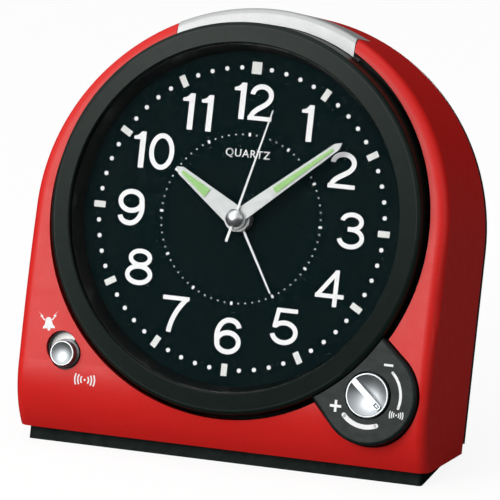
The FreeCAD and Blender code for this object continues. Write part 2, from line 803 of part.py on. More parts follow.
def build_volume_panel():
    body = new_body("panel_body")
    add_depth(body, [area(panel_outline())], d.panel_front, d.panel_back)
    doc.recompute()
    ring_radius = d.rim_radius.value + 0.25

    def on_outer_front(edge):
        point = middle(edge)
        on_ring = abs(math.hypot(point.x, point.z) - ring_radius) < 0.3
        return abs(point.y - d.panel_front.value) < 0.01 and not on_ring

    round_edges(body, on_outer_front, d.panel_round)
    wall = d.panel_wall
    inner = d.rim_radius + 0.25 + wall
    neck = d.panel_neck - wall
    radius = d.panel_radius - wall
    hollow = [
        (leg(inner, neck), -neck, -inner),
        (d.panel_reach, -radius),
        (d.panel_reach + radius, 0, radius),
        (d.panel_reach, radius, radius),
        (leg(inner, neck), neck),
        (inner, 0, -inner),
    ]
    cut_depth(body, [area(hollow)], d.panel_front + wall, d.panel_back + 1)
    add_depth(body, [disc(d.panel_reach, 0, d.well_radius + 1.4)], d.panel_front + 0.5, d.well_floor + 1.2)
    cut_depth(body, [disc(d.panel_reach, 0, d.well_radius)], d.panel_front - 1, d.well_floor)
    cut_depth(body, [disc(d.panel_reach, 0, d.shaft_radius + 0.05)], d.well_floor - 1, d.well_floor + 2)
    keep(body, "volume_panel", in_case(turn=45))


def knob_place():
    side = d.panel_reach.value * math.sin(math.radians(45))
    return side, -side


def build_volume_knob():
    """Rim, two shallow dishes and a raised grip across them with a pointer slot."""
    front = d.knob_front
    rim = d.knob_radius
    dish = rim - 0.55
    body = turned("knob_body", [
        (0, front + 1.5),
        (dish, front + 0.25, -bow(dish, 1.25)),
        (rim - 0.45, front),
        (rim - 0.12, front),
        (rim, front + 0.2),
        (rim, d.well_floor - 0.15),
        (0, d.well_floor - 0.15),
    ])
    grip = 0.8
    add_depth(body, [area([
        (-grip, -leg(rim - 0.2, grip)), (grip, -leg(rim - 0.2, grip)),
        (grip, rim - 1.3), (0.4, rim - 0.9), (-0.4, rim - 0.9), (-grip, rim - 1.3),
    ])], front - 0.1, front + 2)
    cut_depth(body, [box(-0.5, 0.5, rim - 2.8, rim - 1.3)], front - 1, front + 0.7)
    add_depth(body, [box(-0.22, 0.22, rim - 2.5, rim - 1.6)], front - 0.05, front + 1)
    cut_depth(body, [disc(0, 0, d.shaft_radius)], d.well_floor - 1.2, d.well_floor)
    side, height = knob_place()
    place = in_case(side, 0, height, turn=131)
    keep(body, "volume_knob", place)
    shaft = tube("volume_shaft_body", 0, d.shaft_radius, d.well_floor - 1.2, 6.5)
    keep(shaft, "volume_shaft", place)


def build_volume_pot():
    side, height = knob_place()
    pot = flat("pot_body", [box(-5.5, 5.5, -5.5, 5.5)], 4.0, 9.2)
    cut_depth(pot, [disc(0, 0, d.shaft_radius + d.running)], 3, 6.6)
    keep(pot, "volume_pot", in_case(side, 0, height))
    board = flat("volume_board_body", [box(-7, 7, -7.5, 7.5)], 9.2, 10.4)
    keep(board, "volume_board", in_case(side, 0, height))


def build_alarm_slider():
    frame = in_case() * slide_frame()
    gap = d.running
    housing = new_body("slider_housing_body")
    add_depth(housing, [box(-5.5, 5.5, -5.0, 8.2)], -0.4, 2.4)
    add_depth(housing, [area(slot_outline(d.slot_radius - 0.05))], d.collar_front, 0)
    inside = d.slot_radius - d.collar_wall
    cut_depth(housing, [area(slot_outline(inside))], d.collar_front - 1, d.slot_floor + 0.4)
    cut_depth(housing, [area(slot_outline(d.stem_radius + gap))], -2, 3)
    keep(housing, "alarm_switch_housing", frame)
    # white plate under the off end of the slot, seen while the alarm is on
    flag = new_body("flag_body")
    top = d.slide_travel
    low = top + 0.2
    reach = inside - 0.02
    add_depth(flag, [area([
        (leg(reach, low - top), low), (0, top + reach, reach), (-leg(reach, low - top), low, reach),
        (-d.stem_radius - gap, low), (-d.stem_radius - gap, top + 1.2),
        (d.stem_radius + gap, top + 1.2), (d.stem_radius + gap, low),
    ])], d.slot_floor, d.slot_floor + 0.38)
    keep(flag, "alarm_flag", frame)
    front = d.button_front
    dish = d.button_radius - 0.5
    button = turned("button_body", [
        (0, front + 0.75),
        (dish, front + 0.1, -bow(dish, 0.65)),
        (d.button_radius - 0.4, front),
        (d.button_radius - 0.12, front),
        (d.button_radius, front + 0.2),
        (d.button_radius, front + 2.6),
        (d.button_radius + 0.5, front + 3.0),
        (d.button_radius + 0.5, d.slot_floor - 0.15),
        (d.stem_radius, d.slot_floor - 0.15),
        (d.stem_radius, 4.6),
        (0, 4.6),
    ])
    keep(button, "alarm_slide_knob", frame)
    switch = flat("slide_switch_body", [box(-4, 4, -5, 7)], 2.4, 6.4)
    cut_depth(switch, [area(slot_outline(d.stem_radius + gap))], 2, 4.8)
    keep(switch, "alarm_switch", frame)


# ---------------------------------------------------------------- movement


def shaft_side():
    return d.set_reach * Size(math.sin(math.radians(d.set_angle.value)), "sin(dims.set_angle)")


def shaft_height():
    return d.set_reach * Size(math.cos(math.radians(d.set_angle.value)), "cos(dims.set_angle)")


def rod(radius, front, back):
    """A cylinder on the depth axis."""
    start = Vector(0, size(front).value, 0)
    return Part.makeCylinder(size(radius).value, size(back).value - start.y, start, DEPTH_AXIS)


def clock_point(radius, angle, depth):
    """A point at an angle clockwise from twelve."""
    return Vector(radius * math.sin(angle), depth, radius * math.cos(angle))


def gear(teeth, module, front, back, aim, gap_first=False):
    """A spur gear with straight-flanked teeth.

    A tooth points at the angle aim, or a tooth gap if gap_first, so that a pair aimed
    at each other along the line of their centres is in mesh.
    """
    pitch = 2 * math.pi / teeth
    middle_radius = module * teeth / 2
    tip = middle_radius + 0.85 * module
    root = middle_radius - 1.15 * module
    start = math.radians(aim) + (pitch / 2 if gap_first else 0)
    corners = []
    for tooth in range(teeth):
        at = start + tooth * pitch
        for radius, offset in ((root, -0.29), (tip, -0.11), (tip, 0.11), (root, 0.29)):
            corners.append(clock_point(radius, at + offset * pitch, front))
    corners.append(corners[0])
    face = Part.Face(Part.makePolygon(corners))
    return face.extrude(Vector(0, back - front, 0))


def wheel(node, pieces, where, bore=None):
    """Gears, rods and hubs moulded as one piece, with an optional bore."""
    shape = pieces[0].multiFuse(pieces[1:]) if len(pieces) > 1 else pieces[0]
    if bore is not None:
        shape = shape.cut(bore)
    made(node, shape.removeSplitter(), where)


# depths of the wheels, from front to back
ALARM_WHEEL = (4.0, 4.8)
HOUR_WHEEL = (5.2, 6.0)
MINUTE_WHEEL = (6.6, 7.4)
CANNON = (6.4, 7.6)
CENTER_WHEEL = (8.2, 9.0)
THIRD_PINION = (7.95, 9.2)
THIRD_WHEEL = (10.2, 10.8)
SECOND_PINION = (9.95, 11.05)
FIFTH_PINION = (11.6, 12.6)
SECOND_WHEEL = (11.8, 12.4)
FIFTH_WHEEL = (13.2, 13.8)
ROTOR_PINION = (13.0, 14.0)
# angles clockwise from twelve, along which the pairs mesh
UP = 0
DOWN = 180
OPPOSITE = 180


def build_train():
    """Going train: rotor, fifth, second, third and centre wheels."""
    bore = d.arbor + d.running
    pivot_end = d.move_back - 0.6
    right = d.set_angle.value
    left = 360 - right
    wheel("rotor", [
        gear(10, 0.2, *ROTOR_PINION, UP, gap_first=True),
        rod(d.arbor, d.mid_front + 0.05, pivot_end),
        rod(2.5, 14.5, 16.5),
    ], in_case(0, 0, -d.rotor_down))
    wheel("fifth_wheel", [
        gear(12, 0.25, *FIFTH_PINION, UP, gap_first=True),
        gear(60, 0.2, *FIFTH_WHEEL, DOWN),
        rod(d.arbor, d.mid_front + 0.05, pivot_end),
        rod(1.0, FIFTH_PINION[1], FIFTH_WHEEL[0] + 0.1),
    ], in_case(0, 0, -d.fifth_down))
    wheel("second_wheel", [
        gear(60, 0.25, *SECOND_WHEEL, DOWN),
        gear(8, d.third_up.value / 36, *SECOND_PINION, UP),
        rod(d.arbor, -5.3, pivot_end),
        rod(0.9, SECOND_PINION[1], SECOND_WHEEL[0] + 0.1),
    ], in_case())
    wheel("third_wheel", [
        gear(64, d.third_up.value / 36, *THIRD_WHEEL, DOWN, gap_first=True),
        gear(8, d.third_up.value / 34, *THIRD_PINION, DOWN),
        rod(d.arbor, d.frame_back + 0.4, pivot_end),
    ], in_case(0, 0, d.third_up))
    wheel("center_wheel", [
        gear(60, d.third_up.value / 34, *CENTER_WHEEL, UP, gap_first=True),
        rod(2.2, CANNON[1] + 0.1, CENTER_WHEEL[0] + 0.1),
    ], in_case(), bore=rod(bore, 0, 20))
    # motion work: minute tube, minute wheel and hour tube
    tall = d.set_reach.value
    wheel("minute_tube", [
        gear(12, tall / 24, *CANNON, right),
        rod(d.minute_tube, -4.6, CANNON[1]),
    ], in_case(), bore=rod(bore, -10, 20))
    wheel("minute_wheel", [
        gear(36, tall / 24, *MINUTE_WHEEL, right + OPPOSITE, gap_first=True),
        gear(10, tall / 25, 5.05, 6.65, right + OPPOSITE),
        rod(d.set_shaft, d.frame_back + 0.4, d.set_back),
    ], in_case(shaft_side(), 0, shaft_height()))
    wheel("hour_wheel", [
        gear(40, tall / 25, *HOUR_WHEEL, right, gap_first=True),
        rod(d.hour_tube, -3.1, HOUR_WHEEL[1]),
    ], in_case(), bore=rod(d.minute_tube + d.running, -10, 20))
    wheel("alarm_wheel", [
        gear(40, tall / 30, *ALARM_WHEEL, left),
        rod(d.alarm_tube, -1.85, ALARM_WHEEL[1]),
    ], in_case(), bore=rod(d.hour_tube + d.running, -10, 20))
    wheel("alarm_set_shaft", [
        gear(20, tall / 30, 3.8, 4.95, left - OPPOSITE, gap_first=True),
        rod(d.set_shaft, d.frame_back + 0.4, d.set_back),
    ], in_case(-shaft_side(), 0, shaft_height()))


def build_set_knobs():
    for node, side in (("time_set_knob", 1), ("alarm_set_knob", -1)):
        start = d.cover_back + 1.0
        body = turned(node + "_body", [
            (d.set_shaft, start),
            (d.set_knob - 1.2, start),
            (d.set_knob, start + 1.2),
            (d.set_knob, d.set_back + 0.6),
            (d.set_knob - 0.6, d.set_back + 1.2),
            (0, d.set_back + 1.2),
            (0, d.set_back),
            (d.set_shaft, d.set_back),
        ])
        doc.recompute()
        groove = sketch_on(body, "XZ_Plane", -start)
        ring(groove, d.set_knob + 0.25, 0, 0.55)
        notch = body.newObject("PartDesign::Pocket", node + "_notch")
        notch.Profile = groove
        notch.Type = "Length"
        notch.setExpression("Length", (d.set_back + 2 - start).text)
        notch.Reversed = False
        doc.recompute()
        pattern = body.newObject("PartDesign::PolarPattern", node + "_grip")
        pattern.Originals = [notch]
        pattern.Axis = (groove, ["N_Axis"])
        pattern.Angle = 360
        pattern.Occurrences = 24
        body.Tip = pattern
        keep(body, node, in_case(side * shaft_side(), 0, shaft_height()))


def build_movement_case():
    half = d.move_half
    tall = d.move_tall
    front = d.frame_back
    back = front + d.plate_thick
    plate = new_body("plate_body")
    ear = half + 5
    add_depth(plate, [area([
        (-half, -tall), (half, -tall), (half, -4), (ear, -4), (ear, 4), (half, 4), (half, tall),
        (-half, tall), (-half, 4), (-ear, 4), (-ear, -4), (-half, -4),
    ])], front, back)
    add_depth(plate, [disc(0, 0, d.frame_hole - 0.15)], -0.6, back)
    post_places = [(side * 22, height) for side in (-1, 1) for height in (-15.5, 20)]
    add_depth(plate, [disc(x, z, 1.5) for x, z in post_places], back - 0.1, d.mid_front)
    bores = [
        disc(0, 0, d.alarm_tube + d.running),
        disc(0, d.third_up, d.arbor + d.running),
        disc(shaft_side(), shaft_height(), d.set_shaft + d.running),
        disc(-shaft_side(), shaft_height(), d.set_shaft + d.running),
        disc(half + 2.6, 0, 1.1),
        disc(-half - 2.6, 0, 1.1),
    ]
    cut_depth(plate, bores, -2, back + 1)
    keep(plate, "movement_plate")

    bridge = flat("bridge_body", [box(-25, 25, -19.5, 25.5)], d.mid_front, d.mid_front + d.mid_thick)
    cut_depth(bridge, [
        disc(0, 0, d.arbor + d.running),
        disc(0, d.third_up, d.arbor + d.running),
        disc(0, -d.fifth_down, d.arbor + d.running),
        disc(0, -d.rotor_down, d.arbor + d.running),
        disc(shaft_side(), shaft_height(), d.set_shaft + 0.4),
        disc(-shaft_side(), shaft_height(), d.set_shaft + 0.4),
    ], d.mid_front - 1, d.mid_front + 2)
    keep(bridge, "movement_bridge")

    cover = flat("movement_cover_body", [box(-half, half, -tall, tall)], back, d.move_back)
    inner = half - d.cover_wall
    cut_depth(cover, [box(-inner, inner, -(tall - d.cover_wall), tall - d.cover_wall)],
              back - 1, d.move_back - d.cover_wall)
    cut_depth(cover, [
        disc(0, 0, d.arbor + d.running),
        disc(0, d.third_up, d.arbor + d.running),
        disc(0, -d.fifth_down, d.arbor + d.running),
        disc(0, -d.rotor_down, d.arbor + d.running),
        disc(shaft_side(), shaft_height(), d.set_shaft + d.running),
        disc(-shaft_side(), shaft_height(), d.set_shaft + d.running),
    ], d.move_back - 3, d.move_back + 1)
    keep(cover, "movement_cover")


def build_motor():
    """Stepping motor: stator with the coil on its lower bar, and the control board."""
    level = d.coil_depth
    bar_low = -d.coil_down - 1.5
    bar_high = -d.coil_down + 1.5
    stator = flat("stator_body", [box(-11, 11, bar_low, -d.rotor_down + 3.8)], level - 0.5, level + 0.5)
    cut_depth(stator, [box(-8.6, 8.6, bar_high, bar_high + 2.2)], level - 2, level + 2)
    cut_depth(stator, [disc(0, -d.rotor_down, 2.9)], level - 2, level + 2)
    keep(stator, "stator")
    across = Rotation(Vector(0, 0, 1), -90)
    place = in_case(0, level, -d.coil_down, tip=across)
    bobbin = turned("bobbin_body", [
        (1.65, -8), (2.7, -8), (2.7, -7.3), (1.9, -7.3), (1.9, 7.3), (2.7, 7.3), (2.7, 8), (1.65, 8),
    ])
    keep(bobbin, "coil_bobbin", place)
    keep(tube("winding_body", 1.9, 2.55, -7.3, 7.3), "coil_winding", place)
    board = flat("movement_board_body", [box(-24, 24, 14, 26)], 13.0, 14.0)
    add_depth(board, [disc(6, 20, 3.2)], 13.9, 15.2)
    keep(board, "movement_board")
    can = tube("crystal_can_body", 0, 1.0, 0, 6.2)
    keep(can, "quartz_resonator", in_case(-14, 15.02, 20, tip=across))


# ---------------------------------------------------------------- hands


def blade(width_hub, width_tip, near, length, point):
    """Outline of a hand that points along +z, symmetrical about it."""
    return [(-width_hub, near), (width_hub, near), (width_tip, size(length) - point),
            (0, length), (-width_tip, size(length) - point)]


def build_hands():
    thick = d.hand_thick
    alarm = blade(0.3, 0.2, 2.7, d.alarm_length, 0.4)
    hour = blade(2.9, 1.15, 1.9, d.hour_length, 1.6)
    minute = blade(1.9, 1.0, 1.2, d.minute_length, 1.8)
    second = blade(0.3, 0.16, 0.55, d.second_length, 0.4)
    counterweight = [(-0.36, -6.7), (0.36, -6.7), (0.3, -0.55), (-0.3, -0.55)]
    hands = [
        ("alarm_hand", d.alarm_tube, 3.3, -1.8, alarm, d.alarm_angle, None),
        ("hour_hand", d.hour_tube, 3.6, -2.9, hour, d.hour_angle, None),
        ("minute_hand", d.minute_tube, 2.9, -4.2, minute, d.minute_angle, None),
        ("second_hand", d.arbor, 2.0, -5.1, second, d.second_angle, counterweight),
    ]
    for node, tube_radius, boss, front, outline, angle, tail in hands:
        body = new_body(node + "_body")
        add_depth(body, [disc(0, 0, boss)], front - 0.15, size(front) + thick)
        add_depth(body, [area(outline)], front, size(front) + thick)
        if tail is not None:
            add_depth(body, [area(tail)], front, size(front) + thick)
        cut_depth(body, [disc(0, 0, tube_radius)], front - 1, front + 2)
        keep(body, node, in_case(turn=angle))
    base = -5.27
    cap = turned("hub_cap_body", [
        (0, base - 1.3), (2.45, base, bow(2.45, 1.3)), (0.6, base), (0.6, base - 0.06), (0, base - 0.06),
    ])
    keep(cap, "hub_cap")


# ---------------------------------------------------------------- rear: power and sound


def cable(points, radius=0.6):
    """A round lead along a smooth path through points of the case frame."""
    curve = Part.BSplineCurve()
    curve.interpolate([Vector(*point) for point in points])
    path = Part.Wire(curve.toShape())
    tangent = curve.tangent(curve.FirstParameter)[0]
    profile = Part.Wire(Part.makeCircle(radius, Vector(*points[0]), tangent))
    return path.makePipeShell([profile], True, False)


def build_batteries():
    half = d.cell_length / 2
    radius = d.cell_radius
    nub = 1.2
    span = d.bay_high - d.bay_low
    middle_height = (d.bay_high + d.bay_low) / 2
    shift = d.bay_half - d.contact_thick - half
    cells = []
    for name, side in (("cell_upper", 1), ("cell_lower", -1)):
        cell = turned(name, [
            (0, -half), (radius - 0.6, -half), (radius, 0.6 - half), (radius, half - nub - 0.6),
            (radius - 0.6, half - nub), (2.7, half - nub), (2.7, half), (0, half),
        ])
        turn = Rotation(Vector(0, 0, 1), -90 * side)
        height = middle_height + side * (span / 4)
        cell.Placement = Placement(Vector(side * shift.value, d.cell_depth.value, height.value), turn)
        cells.append(cell)
    pair = doc.addObject("Part::Compound", "cells")
    pair.Links = cells
    keep(pair, "battery_cells")


def build_contacts():
    """Flat plates at both ends of the bay, and conical springs under the negative ends."""
    plates = []
    middle_height = (d.bay_high + d.bay_low) / 2
    span = (d.bay_high - d.bay_low) / 4
    for side in (-1, 1):
        for level in (-1, 1):
            plate = doc.addObject("Part::Box", "contact")
            plate.setExpression("Length", d.contact_thick.text)
            plate.Width = 10
            plate.Height = 10
            left = d.bay_half - d.contact_thick if side > 0 else -d.bay_half
            height = middle_height + level * span - 5
            plate.Placement.Base = Vector(left.value, d.cell_depth.value - 5, height.value)
            plates.append(plate)
    group = doc.addObject("Part::Compound", "contacts")
    group.Links = plates
    keep(group, "battery_contacts")
    springs = []
    for side in (-1, 1):
        height = middle_height + side * span
        gap = 2 * d.bay_half.value - 2 * d.contact_thick.value - d.cell_length.value
        springs.append(conical_spring(side, gap, height.value))
    made("battery_springs", Part.makeCompound(springs))


def conical_spring(side, length, height):
    """A tapered coil between a contact plate and the flat end of a cell."""
    wire_radius = 0.3
    turns = 3.5
    rise = length - 2 * wire_radius - 0.1
    wide = 4.2
    narrow = 2.4
    steps = 60
    points = []
    for step in range(steps + 1):
        share = step / steps
        angle = 2 * math.pi * turns * share
        radius = wide + (narrow - wide) * share
        points.append((rise * share, radius * math.cos(angle), radius * math.sin(angle)))
    coil = cable(points, wire_radius)
    plate_side = -side * (d.bay_half.value - d.contact_thick.value - wire_radius - 0.05)
    turn = Rotation(Vector(0, 0, 1), 0 if side > 0 else 180)
    coil.Placement = Placement(Vector(plate_side, d.cell_depth.value, height), turn)
    return coil


def build_speaker():
    front = d.case_back - 0.1
    radius = d.speaker_radius
    place = in_case(0, 0, d.speaker_up)
    basket = turned("basket_body", [
        (radius - 2, front - 2.6), (radius, front - 2.6), (radius, front), (radius - 2, front),
        (radius - 2, front - 1.4), (9.6, front - 6.4), (5.6, front - 6.4), (5.6, front - 7.4),
        (10.2, front - 7.4),
    ])
    keep(basket, "speaker_basket", place)
    cone = turned("cone_body", [
        (radius - 2.1, front - 0.9), (radius - 3.2, front - 0.35), (radius - 4.3, front - 0.9),
        (4.0, front - 5.2), (0, front - 3.6), (0, front - 3.9), (3.9, front - 5.55),
        (radius - 4.3, front - 1.25), (radius - 3.2, front - 0.7), (radius - 2.1, front - 1.25),
    ])
    keep(cone, "speaker_cone", place)
    magnet = tube("magnet_body", 0, 8.5, front - 11.4, front - 7.45)
    keep(magnet, "speaker_magnet", place)
    clamp = turned("clamp_body", [
        (radius - 1.6, front - 4.0), (radius + 1.5, front - 4.0), (radius + 1.5, front - 0.02),
        (radius + 0.1, front - 0.02), (radius + 0.1, front - 2.65), (radius - 1.6, front - 2.65),
    ])
    keep(clamp, "speaker_clamp", place)


def build_boards():
    board = flat("main_board_body", [box(-51, -31, -28, 20)], 20.0, 21.4)
    keep(board, "main_board")
    parts = new_body("board_parts_body")
    add_depth(parts, [box(-45, -39, -6, 2)], 21.4, 23.0)
    add_depth(parts, [disc(-36, 12, 2.5), disc(-36, 5, 2.5)], 21.4, 27.4)
    add_depth(parts, [disc(-36, -22, 1.4), disc(-40, -22, 1.4), disc(-44, -22, 1.4)], 21.4, 25.4)
    keep(parts, "board_components")
    tact = flat("snooze_switch_body", [box(-3, 3, 45.6, 49.0)], 10.4, 15.6)
    add_depth(tact, [box(-1.7, 1.7, 48.9, d.tact_top)], 11.4, 14.6)
    keep(tact, "snooze_switch")
    carrier = flat("snooze_board_body", [box(-12, 12, 44.4, 45.6)], 9.6, 17)
    keep(carrier, "snooze_board")


def build_screws():
    """Four cover screws from the rear and two movement screws, as two groups."""
    cover = []
    for side in (-1, 1):
        for x, z in ((d.boss_side, d.boss_low), (d.boss_top_side, d.boss_top)):
            screw = turned("cover_screw", [
                (0, d.case_back - 10), (1.1, d.case_back - 10), (1.1, d.cover_back), (2.6, d.cover_back),
                (2.6, d.cover_back + 0.7), (1.9, d.cover_back + 1.5), (0, d.cover_back + 1.5),
            ])
            cut_depth(screw, [box(-1.4, 1.4, -0.28, 0.28)], d.cover_back + 0.9, d.cover_back + 2)
            screw.Placement.Base = Vector((side * x).value, 0, z.value)
            cover.append(screw)
    group = doc.addObject("Part::Compound", "cover_screw_group")
    group.Links = cover
    keep(group, "case_screws")
    inner = []
    back = d.frame_back + d.plate_thick
    for side in (-1, 1):
        screw = turned("movement_screw", [
            (0, d.dial_thick + 0.1), (1.0, d.dial_thick + 0.1), (1.0, back), (2.1, back),
            (2.1, back + 1.2), (0, back + 1.2),
        ])
        screw.Placement.Base = Vector((side * (d.move_half + 2.6)).value, 0, 0)
        inner.append(screw)
    group = doc.addObject("Part::Compound", "movement_screw_group")
    group.Links = inner
    keep(group, "movement_screws")


def build_leads():
    speaker = [
        cable([(-33, 22.2, 18), (-30, 25, 24), (-26, 25.5, 28), (-22, 27.5, 29)]),
        cable([(-33, 22.2, 15), (-28, 25, 21), (-24, 25.5, 25), (-20.5, 27.5, 26.5)]),
    ]
    made("speaker_leads", Part.makeCompound(speaker))


def check(items):
    doc.recompute()
    for item in doc.Objects:
        if "Invalid" in item.State or "Error" in item.State:
            raise RuntimeError(item.Name + " failed: " + str(item.State))
    for piece in items:
        if piece.Shape.isNull() or not piece.Shape.isValid():
            raise RuntimeError(piece.Label + " has no valid shape")
        if not piece.Shape.Solids:
            raise RuntimeError(piece.Label + " has no solid")


def main():
    build_case()
    build_base()
    build_back_cover()
    build_battery_door()
    build_front_rings()
    build_lights()
    build_snooze_bar()
    build_volume_panel()
    build_volume_knob()
    build_volume_pot()
    build_alarm_slider()
    build_train()
    build_set_knobs()
    build_movement_case()
    build_motor()
    build_hands()
    build_batteries()
    build_contacts()
    build_speaker()
    build_boards()
    build_screws()
    build_leads()
    check(PIECES)
    os.makedirs("parts", exist_ok=True)
    for piece in PIECES:
        piece.Shape.exportStep(os.path.join("parts", piece.Label + ".step"))
        print(piece.Label, len(piece.Shape.Solids), round(piece.Shape.Volume, 1))


main()
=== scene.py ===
"""Quartz alarm clock: looks, printed marks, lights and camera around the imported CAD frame."""
import json
import math

import bmesh
import bpy
from mathutils import Matrix, Vector
from mathutils.bvhtree import BVHTree


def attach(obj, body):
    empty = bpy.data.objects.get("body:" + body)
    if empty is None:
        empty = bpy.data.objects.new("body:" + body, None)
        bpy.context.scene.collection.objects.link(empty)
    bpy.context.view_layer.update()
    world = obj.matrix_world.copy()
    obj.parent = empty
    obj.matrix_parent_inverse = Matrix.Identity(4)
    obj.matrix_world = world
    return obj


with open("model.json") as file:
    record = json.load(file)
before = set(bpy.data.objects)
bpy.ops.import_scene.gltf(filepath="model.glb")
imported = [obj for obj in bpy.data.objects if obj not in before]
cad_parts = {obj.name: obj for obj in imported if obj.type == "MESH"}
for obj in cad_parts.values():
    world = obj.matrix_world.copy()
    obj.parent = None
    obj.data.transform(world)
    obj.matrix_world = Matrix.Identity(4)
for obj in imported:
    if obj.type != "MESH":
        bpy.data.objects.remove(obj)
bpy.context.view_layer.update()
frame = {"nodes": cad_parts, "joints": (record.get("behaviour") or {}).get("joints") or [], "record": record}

MM = 0.001
JOINTS = {joint["name"]: joint for joint in frame["joints"]}

# the dial's own frame: centre of its printed face, right, up along it, and into the clock
CENTRE = Vector(JOINTS["second_spin"]["pos_m"])
INTO = Vector(JOINTS["second_spin"]["axis"]).normalized()
RIGHT = Vector((1, 0, 0))
UP = RIGHT.cross(INTO)


def dial_point(x, y, lift):
    """A point in front of the dial, from millimetres right, up and towards the viewer."""
    return CENTRE + (RIGHT * x + UP * y - INTO * lift) * MM


def dial_place(point):
    """Millimetres right, up and towards the viewer of a point in space."""
    offset = (Vector(point) - CENTRE) / MM
    return offset.dot(RIGHT), offset.dot(UP), -offset.dot(INTO)


def node_places(node):
    """The dial places of all the points of a CAD node."""
    return [dial_place(vertex.co) for vertex in frame["nodes"][node].data.vertices]


# ------------------------------------------------------------ flat marks

# degrees between the points of an arc, the fewest steps of one, and where a closed one stops
ARC_STEP = 6
FEWEST_STEPS = 6
LOOP_END = 360 - ARC_STEP
BEND_STEPS = 12

# millimetres from the surface to the top of a print and to its hidden underside
PRINT_HIGH = 0.03
PRINT_LOW = -0.05


def arc(x, y, wide, tall, start, end):
    """Points along an elliptical arc, angles in degrees anticlockwise from the right."""
    steps = max(FEWEST_STEPS, int(abs(end - start) / ARC_STEP))
    angles = [math.radians(start + (end - start) * i / steps) for i in range(steps + 1)]
    return [(x + wide * math.cos(a), y + tall * math.sin(a)) for a in angles]


def bend(first, pull_first, pull_last, last):
    """Points along a cubic curve, without its first point."""
    corners = (first, pull_first, pull_last, last)
    points = []
    for i in range(1, BEND_STEPS + 1):
        t = i / BEND_STEPS
        weights = ((1 - t) ** 3, 3 * t * (1 - t) ** 2, 3 * t * t * (1 - t), t ** 3)
        points.append(tuple(sum(w * c[k] for w, c in zip(weights, corners)) for k in (0, 1)))
    return points


def ribbon(path, width, closed):
    """Left and right edges of a stroke of even width along a path."""
    count = len(path)
    reach = width / 2
    left = []
    right = []
    for i, (x, y) in enumerate(path):
        before = path[i - 1] if closed or i > 0 else path[0]
        after = path[(i + 1) % count] if closed or i < count - 1 else path[-1]
        along = Vector((after[0] - before[0], after[1] - before[1])).normalized()
        left.append((x - along.y * reach, y + along.x * reach))
        right.append((x + along.y * reach, y - along.x * reach))
    return left, right


class Print:
    """Thin raised marks on a surface, gathered into one piece."""

    def __init__(self, at, high=PRINT_HIGH):
        """at turns millimetres right, up and off the surface into a point in space."""
        self.at = at
        self.high = high
        self.mesh = bmesh.new()

    def corner(self, point, lift):
        return self.mesh.verts.new(self.at(point[0], point[1], lift))

    def area(self, outline):
        """A closed outline, its points anticlockwise."""
        tops = [self.corner(point, self.high) for point in outline]
        lows = [self.corner(point, PRINT_LOW) for point in outline]
        self.mesh.faces.new(tops)
        self.mesh.faces.new(list(reversed(lows)))
        for i in range(len(outline)):
            j = (i + 1) % len(outline)
            self.mesh.faces.new((tops[j], tops[i], lows[i], lows[j]))

    def stroke(self, path, width, closed=False, extra=0.0):
        """A stroke; extra lifts it a little over one that it crosses."""
        left, right = ribbon(path, width, closed)
        lifts = (self.high + extra, PRINT_LOW - extra)
        rows = [[self.corner(p, lift) for p in side] for side in (left, right) for lift in lifts]
        top_left, low_left, top_right, low_right = rows
        count = len(path)
        for i in range(count if closed else count - 1):
            j = (i + 1) % count
            self.mesh.faces.new((top_right[i], top_right[j], top_left[j], top_left[i]))
            self.mesh.faces.new((low_left[i], low_left[j], low_right[j], low_right[i]))
            self.mesh.faces.new((top_left[i], top_left[j], low_left[j], low_left[i]))
            self.mesh.faces.new((low_right[i], low_right[j], top_right[j], top_right[i]))
        if not closed:
            self.mesh.faces.new((top_left[0], low_left[0], low_right[0], top_right[0]))
            self.mesh.faces.new((top_right[-1], low_right[-1], low_left[-1], top_left[-1]))

    def disc(self, x, y, radius, sides):
        turns = [2 * math.pi * i / sides for i in range(sides)]
        self.area([(x + radius * math.cos(a), y + radius * math.sin(a)) for a in turns])

    def piece(self, name, look, body="clock_case"):
        bmesh.ops.recalc_face_normals(self.mesh, faces=self.mesh.faces)
        new_piece(name, self.mesh, look, body)


def new_piece(name, mesh, look, body):
    """Turn a bmesh into a printed piece that rides on a body."""
    data = bpy.data.meshes.new(name)
    mesh.to_mesh(data)
    mesh.free()
    piece = bpy.data.objects.new(name, data)
    bpy.context.scene.collection.objects.link(piece)
    data.materials.append(look)
    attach(piece, body)


# ------------------------------------------------------------ numerals

# The figures are drawn along their centre lines, in units of their height, with the origin at
# the middle of the foot. Each stroke has a path, a width and whether it closes on itself.
THICK = 0.136
THIN = 0.116
# single figures are drawn this much wider than those that share a number
SPREAD = 1.12
# a one reaches further right than left, so on its own it is drawn this much to the left
LONE_ONE_SHIFT = 0.045
# millimetres between the faces of strokes that cross
CROSSING_LIFT = 0.004


def figure_one():
    """Outline of the figure one: a bar with a curved flag."""
    bar_left = 0.055
    bar_right = 0.215
    flag_left = -0.13
    flag_foot = 0.775
    flag = arc(flag_left, 1.15, 0.245, 0.285, -32, -90)
    foot = [(bar_left, 0), (bar_right, 0), (bar_right, 1)]
    return foot + flag + [(flag_left, flag_foot), (bar_left, flag_foot)]


def nine(turned_over=False):
    """The figure nine, or a six when it is turned over."""
    def turned(path):
        return [(-x, 1 - y) for x, y in path] if turned_over else path
    loop = turned(arc(-0.01, 0.672, 0.282, 0.262, 0, LOOP_END))
    tail = turned(arc(-0.012, 0.50, 0.300, 0.436, 32, -90) + bend(
        (-0.012, 0.064), (-0.16, 0.064), (-0.25, 0.15), (-0.272, 0.262)))
    return [(loop, THICK, True), (tail, THICK, False)]


